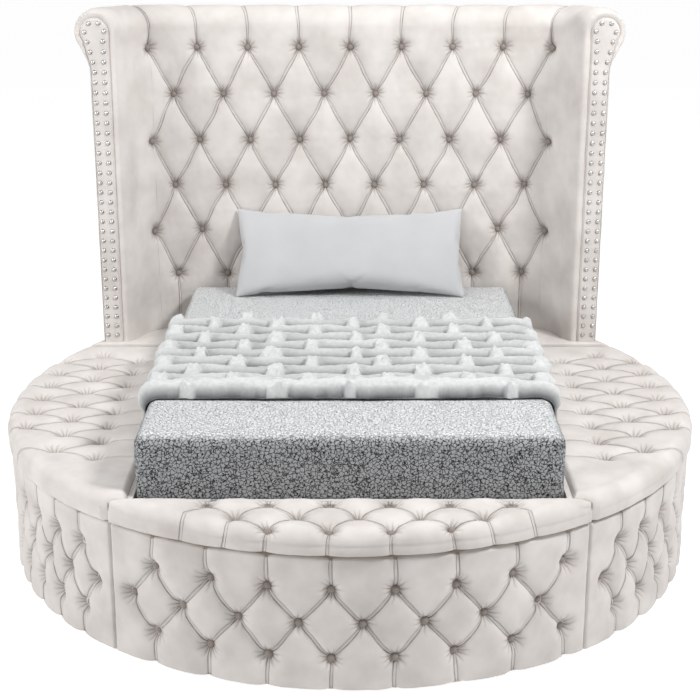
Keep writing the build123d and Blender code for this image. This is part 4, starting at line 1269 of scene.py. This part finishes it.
def lens(case):
    """A case filled to a smooth lens, as it is before the cloth settles."""
    places = np.array([vert.co[:] for vert in case.vertices])
    share = np.abs(places / np.append(np.abs(places[:, :2]).max(axis=0), 1))
    thick = np.clip((1 - share[:, 0] ** 4) * (1 - share[:, 1] ** 2.4), 0, 1) ** 0.7
    places[:, 2] = np.sign(places[:, 2]) * thick * LENS_THICK / 2
    case.vertices.foreach_set("co", places.astype(np.float32).ravel())
    return places


case = flat_case()
places = lens(case)
places = stuff(case.copy())
span = np.ptp(places, axis=0)
print("stuffed to", span.round(3))
places = (places - places.min(axis=0) - span / 2) * (PILLOW_SIZE * [1, 0.99, 0.98] / span)
pillow_low, pillow_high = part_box("pillow")
up_way = np.array([0, cos(PILLOW_LEAN), sin(PILLOW_LEAN)])
out_way = np.array([0, -sin(PILLOW_LEAN), cos(PILLOW_LEAN)])
centre = np.array((pillow_low + pillow_high) / 2)
placed = centre + places[:, :1] * [1, 0, 0] + places[:, 1:2] * up_way + places[:, 2:] * out_way
case.vertices.foreach_set("co", placed.astype(np.float32).ravel())
pillow = finish_mesh("pillow_cover", case, cotton)
subdivide = pillow.modifiers.new("finer", "SUBSURF")
subdivide.levels = subdivide.render_levels = 1
cover(pillow, "base", "pillow_cotton", "pillow", fill=0.75)

# %% [markdown]
# ## Ribbed throw
#
# The throw is thick plush, quilted into fat ribs that run across the bed. Every so
# often two neighbouring ribs are pinched together by a knot, and the knots of one
# row lie between those of the next. The throw is a height over a path that climbs
# one side of the mattress, crosses it and goes down the other side.


# %% Plush material
def make_plush():
    """Long-pile plush: white, matt, with clumps of pile, painted shade in the grooves between its ribs, and
    a soft glow at its edges.
    """
    material, tree = start_material("long-pile plush")
    place = add(tree, COORDINATES).outputs["Object"]
    clumps = add(tree, NOISE, {"Vector": place, "Scale": 1 / (16 * MM), "Detail": 5.0,
                               "Roughness": 0.65}).outputs[0]
    pile = add(tree, NOISE, {"Vector": place, "Scale": 1 / (3.5 * MM), "Detail": 3.0}).outputs[0]
    fur = add(tree, MIX, {0: clumps, 6: linear("BCBEBF"), 7: linear("E6E7E6")}, data_type="RGBA")
    groove_shade = add(tree, ATTRIBUTE, attribute_name="groove_shade").outputs["Fac"]
    # Shade is painted into the grooves between the ribs, towards a dark grey
    colour = add(tree, MIX, {0: groove_shade, 6: fur.outputs[2], 7: linear("626466")}, data_type="RGBA")
    coarse = add(tree, BUMP, {"Height": clumps, "Strength": 0.35, "Distance": 6 * MM}).outputs[0]
    bump = add(tree, BUMP, {"Height": pile, "Strength": 0.45, "Distance": 2 * MM, "Normal": coarse})
    finish_material(tree, {"Base Color": colour.outputs[2], "Roughness": 1.0, "Specular IOR Level": 0.1,
                           "Sheen Weight": 0.2, "Normal": bump.outputs[0]})
    return material


plush = make_plush()
print("made", plush.name)

# %% Ribs and knots
throw_low, throw_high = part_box("throw")
mattress_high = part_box("mattress")[1]
RIBS = 9
RIB_HEIGHT = 38 * MM
FIRST_RIB_SHARE = 1.5
RIB_WIDTH_SHARE = 0.86
RIB_UNEVEN = 0.16
SIDE_RIB_SHARE = 0.28
KNOT_PITCH, KNOT_STRAY = 272 * MM, 30 * MM
KNOT_HALF, KNOT_HEIGHT = 30 * MM, 50 * MM
KNOT_LUMPS = 0.24
KNOT_DRAW, KNOT_SINK = 0.42, 0.22
SEAM_STRAY = 8 * MM
GROOVE_SHADE_SHARE = 1.15
HEM_ROUND = 9 * MM
LEAST_PILE = 0.5 * MM


def knots(u, v, long):
    """How near each place is to a knot, the knots' own shape, and the layout as they draw it in."""
    pitch = long / RIBS
    # Knots sit on the seams between ribs. Every second seam's knots are shifted by half a pitch
    seam = np.clip(np.round(v / pitch), 0, RIBS)
    stray = KNOT_STRAY * ripple(np.stack([u, seam * 0.37], -1), 500 * MM, 68)
    shift = (seam % 2) * KNOT_PITCH / 2 + stray
    along = (u - shift + KNOT_PITCH / 2) % KNOT_PITCH - KNOT_PITCH / 2
    off = v - seam * pitch
    near = np.exp(-((along / (KNOT_HALF * 2.1)) ** 2))
    shape = np.clip(1 - (along / KNOT_HALF) ** 4 - (off / (pitch * 0.58)) ** 4, 0, 1)
    # Beside a knot its two ribs are drawn together, so the layout is stretched away from the seam
    drawn = off * (1 + KNOT_DRAW * near * (1 - (2 * off / pitch) ** 2))
    return near, shape, seam * pitch + drawn


def plush_heights(u, v, long, side_share):
    """How high the plush stands over its path, and how much shade is painted between its ribs."""
    flat = np.stack([u, v], -1)
    pitch = long / RIBS
    near_knot, knot, place = knots(u, v, long)
    place = place + SEAM_STRAY * ripple(flat, 240 * MM, 61)
    rib = np.clip(np.floor(place / pitch), 0, RIBS - 1)
    share = (2 * (place / pitch - rib) - 1) / RIB_WIDTH_SHARE
    full = np.sqrt(np.clip(1 - share**2, 0, 1))
    uneven = 1 + RIB_UNEVEN * ripple(np.stack([u, rib * 0.31], -1), 210 * MM, 67)
    first = np.where(rib == 0, FIRST_RIB_SHARE, 1)
    height = RIB_HEIGHT * first * uneven * full * (1 - KNOT_SINK * near_knot)
    lumps = 1 + KNOT_LUMPS * ripple(flat, 34 * MM, 64)
    height = np.maximum(height, KNOT_HEIGHT * lumps * knot**0.4)
    edge = np.clip(np.minimum(v, long - v) / HEM_ROUND, 0, 1) ** 0.5
    tufts = 1.8 * MM * ripple(flat, 24 * MM, 62) + 1.3 * MM * ripple(flat, 10 * MM, 63)
    height = np.clip(edge * (height + tufts), LEAST_PILE, None) * side_share
    # The further the pile stands below a rib's full height, the more shade is painted on it, and none on the
    # knots
    groove_shade = np.clip(1 - height / (GROOVE_SHADE_SHARE * RIB_HEIGHT * side_share), 0, 1) * (1 - knot**0.5)
    return height, groove_shade


print("ribs", round((throw_high.y - throw_low.y) / RIBS, 3), "m apart")

# %% Throw
THROW_THICK = 12 * MM
THROW_BEND = 50 * MM
BESIDE, ABOVE = 5 * MM, 4 * MM
ACROSS_STEP, ALONG_STEP = 8 * MM, 5.5 * MM
PILE_OVER = 2 * MM


def throw_path():
    """The throw's way over the mattress: its places (x, z) and the outward direction there."""
    half, top = mattress_high.x + BESIDE, mattress_high.z + ABOVE
    bend_z = top - THROW_BEND
    side_z = np.linspace(throw_low.z, bend_z, ceil((bend_z - throw_low.z) / ACROSS_STEP))[:-1]
    turns = np.linspace(pi, pi / 2, ceil(THROW_BEND * pi / 2 / ACROSS_STEP))
    flat_x = np.linspace(THROW_BEND - half, 0, ceil((half - THROW_BEND) / ACROSS_STEP))[1:]
    side, level = np.ones(len(side_z)), np.ones(len(flat_x))
    x = np.concatenate([-half * side, THROW_BEND - half + THROW_BEND * np.cos(turns), flat_x])
    z = np.concatenate([side_z, bend_z + THROW_BEND * np.sin(turns), top * level])
    way = np.concatenate([pi * side, turns, pi / 2 * level])
    # The other half of the path is the first one's mirror image
    x, z, way = np.append(x, -x[-2::-1]), np.append(z, z[-2::-1]), np.append(way, pi - way[-2::-1])
    return x, z, np.cos(way), np.sin(way)


def make_throw():
    """The throw as rings across the bed: its pile over the path, and its underside below."""
    x, z, out_x, out_z = throw_path()
    length = np.cumsum(np.hypot(np.diff(x, prepend=x[0]), np.diff(z, prepend=z[0])))
    length -= length[-1] / 2
    long = throw_high.y - throw_low.y
    stations = np.linspace(0, long, ceil(long / ALONG_STEP))
    u, v = np.meshgrid(length, stations)
    # The ribs are thin where they hang down the sides, so that the side lids can open
    side_share = SIDE_RIB_SHARE + (1 - SIDE_RIB_SHARE) * np.clip(out_z * 1.2, 0, 1) ** 0.7
    height, groove_shade = plush_heights(u, v, long, side_share)
    lower = np.clip(height - THROW_THICK * side_share, 0, None)
    hem = np.stack([length, length * 0], -1)
    hem_wave = 11 * MM * ripple(hem, 170 * MM, 65) + 6 * MM * ripple(hem, 45 * MM, 66)
    rings = []
    for row, station in enumerate(stations):
        at_edge = abs(2 * row / (len(stations) - 1) - 1)
        y = throw_low.y + station + at_edge * hem_wave
        over = height[row] + PILE_OVER
        upper = np.stack([x + out_x * over, y, z + out_z * over], -1)
        under = np.stack([x + out_x * lower[row], y, z + out_z * lower[row]], -1)
        rings.append(np.concatenate([upper, under[::-1]]))
    made = skin("throw_plush", rings, plush, {"groove_shade": np.concatenate([groove_shade, groove_shade[:, ::-1]], axis=1)})
    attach(made, "base")
    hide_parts("throw")
    print("throw cut", round(length[-1] * 2, 3), "by", round(long, 3))
    return made


make_throw()

# %% [markdown]
# ## Timber, steel and nylon
#
# Under the velvet the bed is joinery: birch plywood panels bent round the base,
# sawn pine rails and slats, zinc-plated butt hinges and nylon glides. They show
# when a lid is open or from behind, so each gets a finish of its own.


# %% Timber
def make_timber(name, pale_hex, dark_hex, grain, stretch):
    """Wood with its grain drawn out along one axis."""
    material, tree = start_material(name)
    place = add(tree, COORDINATES).outputs["Object"]
    drawn = add(tree, "ShaderNodeMapping", {"Vector": place, "Scale": stretch}).outputs[0]
    stir = add(tree, NOISE, {"Vector": drawn, "Scale": 1 / (60 * MM), "Detail": 4.0}).outputs[0]
    bands = add(tree, "ShaderNodeTexWave", {"Vector": drawn, "Scale": 1 / grain, "Distortion": 6.0,
                                            "Detail": 3.0, "Detail Scale": 1.5}, bands_direction="Y")
    pores = add(tree, NOISE, {"Vector": drawn, "Scale": 1 / (4 * MM), "Detail": 3.0}).outputs[0]
    mixed = add(tree, MIX, {0: 0.45, 2: bands.outputs["Fac"], 3: stir}, data_type="FLOAT").outputs[0]
    colour = add(tree, MIX, {0: mixed, 6: linear(pale_hex), 7: linear(dark_hex)}, data_type="RGBA")
    bump = add(tree, BUMP, {"Height": pores, "Strength": 0.25, "Distance": 0.6 * MM}).outputs[0]
    rough = add(tree, REMAP, {"Value": pores, "To Min": 0.5, "To Max": 0.75}).outputs[0]
    finish_material(tree, {"Base Color": colour.outputs[2], "Roughness": rough, "Normal": bump})
    return material


plywood = make_timber("birch plywood, sanded", "E3CDA6", "CDB084", 70 * MM, (0.25, 1, 0.25))
pine = make_timber("pine, sawn and planed", "E6C68F", "CFA468", 22 * MM, (0.12, 1, 1))
print("made", plywood.name, "and", pine.name)


# %% Steel and nylon
def make_zinc():
    """Zinc-plated steel, pressed: pale metal with a faint spangle."""
    material, tree = start_material("zinc-plated steel, pressed")
    place = add(tree, COORDINATES).outputs["Object"]
    spangle = add(tree, "ShaderNodeTexVoronoi", {"Vector": place, "Scale": 1 / (6 * MM)}).outputs["Distance"]
    tint = add(tree, MIX, {0: spangle, 6: linear("A8ADB2"), 7: linear("C6CACD")}, data_type="RGBA")
    rough = add(tree, REMAP, {"Value": spangle, "To Min": 0.3, "To Max": 0.45}).outputs[0]
    finish_material(tree, {"Base Color": tint.outputs[2], "Roughness": rough, "Metallic": 1.0})
    return material


def make_nylon():
    """Moulded nylon, black: slightly grainy from its mould."""
    material, tree = start_material("moulded nylon, black")
    place = add(tree, COORDINATES).outputs["Object"]
    grain = add(tree, NOISE, {"Vector": place, "Scale": 1 / (1.5 * MM), "Detail": 2.0}).outputs[0]
    tint = add(tree, MIX, {0: grain, 6: linear("1B1B1C"), 7: linear("2B2B2C")}, data_type="RGBA")
    bump = add(tree, BUMP, {"Height": grain, "Strength": 0.2, "Distance": 0.2 * MM}).outputs[0]
    finish_material(tree, {"Base Color": tint.outputs[2], "Roughness": 0.5, "Normal": bump})
    return material


finishes = {"zinc": make_zinc(), "nylon": make_nylon(), "velvet": velvet, "plywood": plywood, "pine": pine}
# The velvet of the back turns over the top edge of the headboard's frame
wanted = {
    "zinc": ("hinge",),
    "nylon": ("glides",),
    "velvet": ("inner_wall", "end_wall", "plinth", "headboard_back", "headboard_board",
               "headboard_frame", "facing"),
    "plywood": ("lid_board", "bench_floor", "outer_wall"),
}
for name, node in nodes.items():
    finish = next((key for key, words in wanted.items() if any(word in name for word in words)), "pine")
    node.data.materials.clear()
    node.data.materials.append(finishes[finish])
print("finished", len(nodes), "CAD nodes")

# %% [markdown]
# ## Camera, floor and light
#
# The camera stands at the height of a raised hand, some way in front of the foot,
# and looks slightly down. The floor is pale and so wide that its edge never shows.
# A key lamp above and to the right shapes the tufts, and a larger one at the left
# and one overhead fill their shadows. The room adds a dim light from all round.
# Floor and room look brighter to the camera than the light that they give, as the
# white ground of a studio picture does, and a light path node makes that difference.

# %% Camera
CAMERA_PLACE = (0, -5.346, 2.406)
CAMERA_PITCH = radians(17.34)
camera_data = bpy.data.cameras.new("camera")
camera_data.lens = 74.42
camera_data.sensor_width = 36
camera = put("camera", camera_data)
camera.location = CAMERA_PLACE
camera.rotation_euler = (pi / 2 - CAMERA_PITCH, 0, 0)
bpy.context.scene.camera = camera
print("camera", camera_data.lens, "mm")

# %% Floor
FLOOR_HALF = 60
FLOOR_GLOW, FLOOR_SEEN = 0.42, 0.8
WHITE = (1, 1, 1, 1)
floor_mesh = bpy.data.meshes.new("floor")
corners = [(x * FLOOR_HALF, y * FLOOR_HALF, 0) for x, y in ((-1, -1), (1, -1), (1, 1), (-1, 1))]
floor_mesh.from_pydata(corners, [], [(0, 1, 2, 3)])
floor = put("floor", floor_mesh)
floor_material, floor_tree = start_material("pale studio floor")
seen = add(floor_tree, "ShaderNodeLightPath").outputs["Is Camera Ray"]
glow = add(floor_tree, REMAP, {"Value": seen, "To Min": FLOOR_GLOW, "To Max": FLOOR_SEEN}).outputs[0]
finish_material(floor_tree, {"Base Color": linear("BCBCBC"), "Roughness": 0.9, "Emission Color": WHITE,
                             "Emission Strength": glow})
floor_mesh.materials.append(floor_material)
print("floor", 2 * FLOOR_HALF, "m wide")

# %% Lights
ROOM_LIGHT, ROOM_SEEN = 0.34, 1.0
AIM = (0, -0.1, 0.7)
# Each lamp's place, the side of its square in metres, and its power in watts
LAMPS = {
    "key": ((3.4, -2.2, 5.0), 1.0, 220),
    "left": ((-4.8, -2.2, 3.0), 2.0, 134),
    "top": ((0, -0.4, 6.0), 2.4, 75),
}
world = bpy.data.worlds.new("studio")
world.use_nodes = True
room = world.node_tree
seen = add(room, "ShaderNodeLightPath").outputs["Is Camera Ray"]
strength = add(room, REMAP, {"Value": seen, "To Min": ROOM_LIGHT, "To Max": ROOM_SEEN}).outputs[0]
room.nodes["Background"].inputs["Color"].default_value = WHITE
room.links.new(strength, room.nodes["Background"].inputs["Strength"])
bpy.context.scene.world = world
for name, (place, size, power) in LAMPS.items():
    lamp_data = bpy.data.lights.new(name, "AREA")
    lamp_data.size = size
    lamp_data.energy = power
    lamp = put(name, lamp_data)
    lamp.location = place
    x, y, z = np.array(AIM) - place
    lamp.rotation_euler = (atan2(hypot(x, y), -z), 0, atan2(-x, y))
bpy.context.scene.view_settings.view_transform = "Standard"
print(len(LAMPS), "lamps")
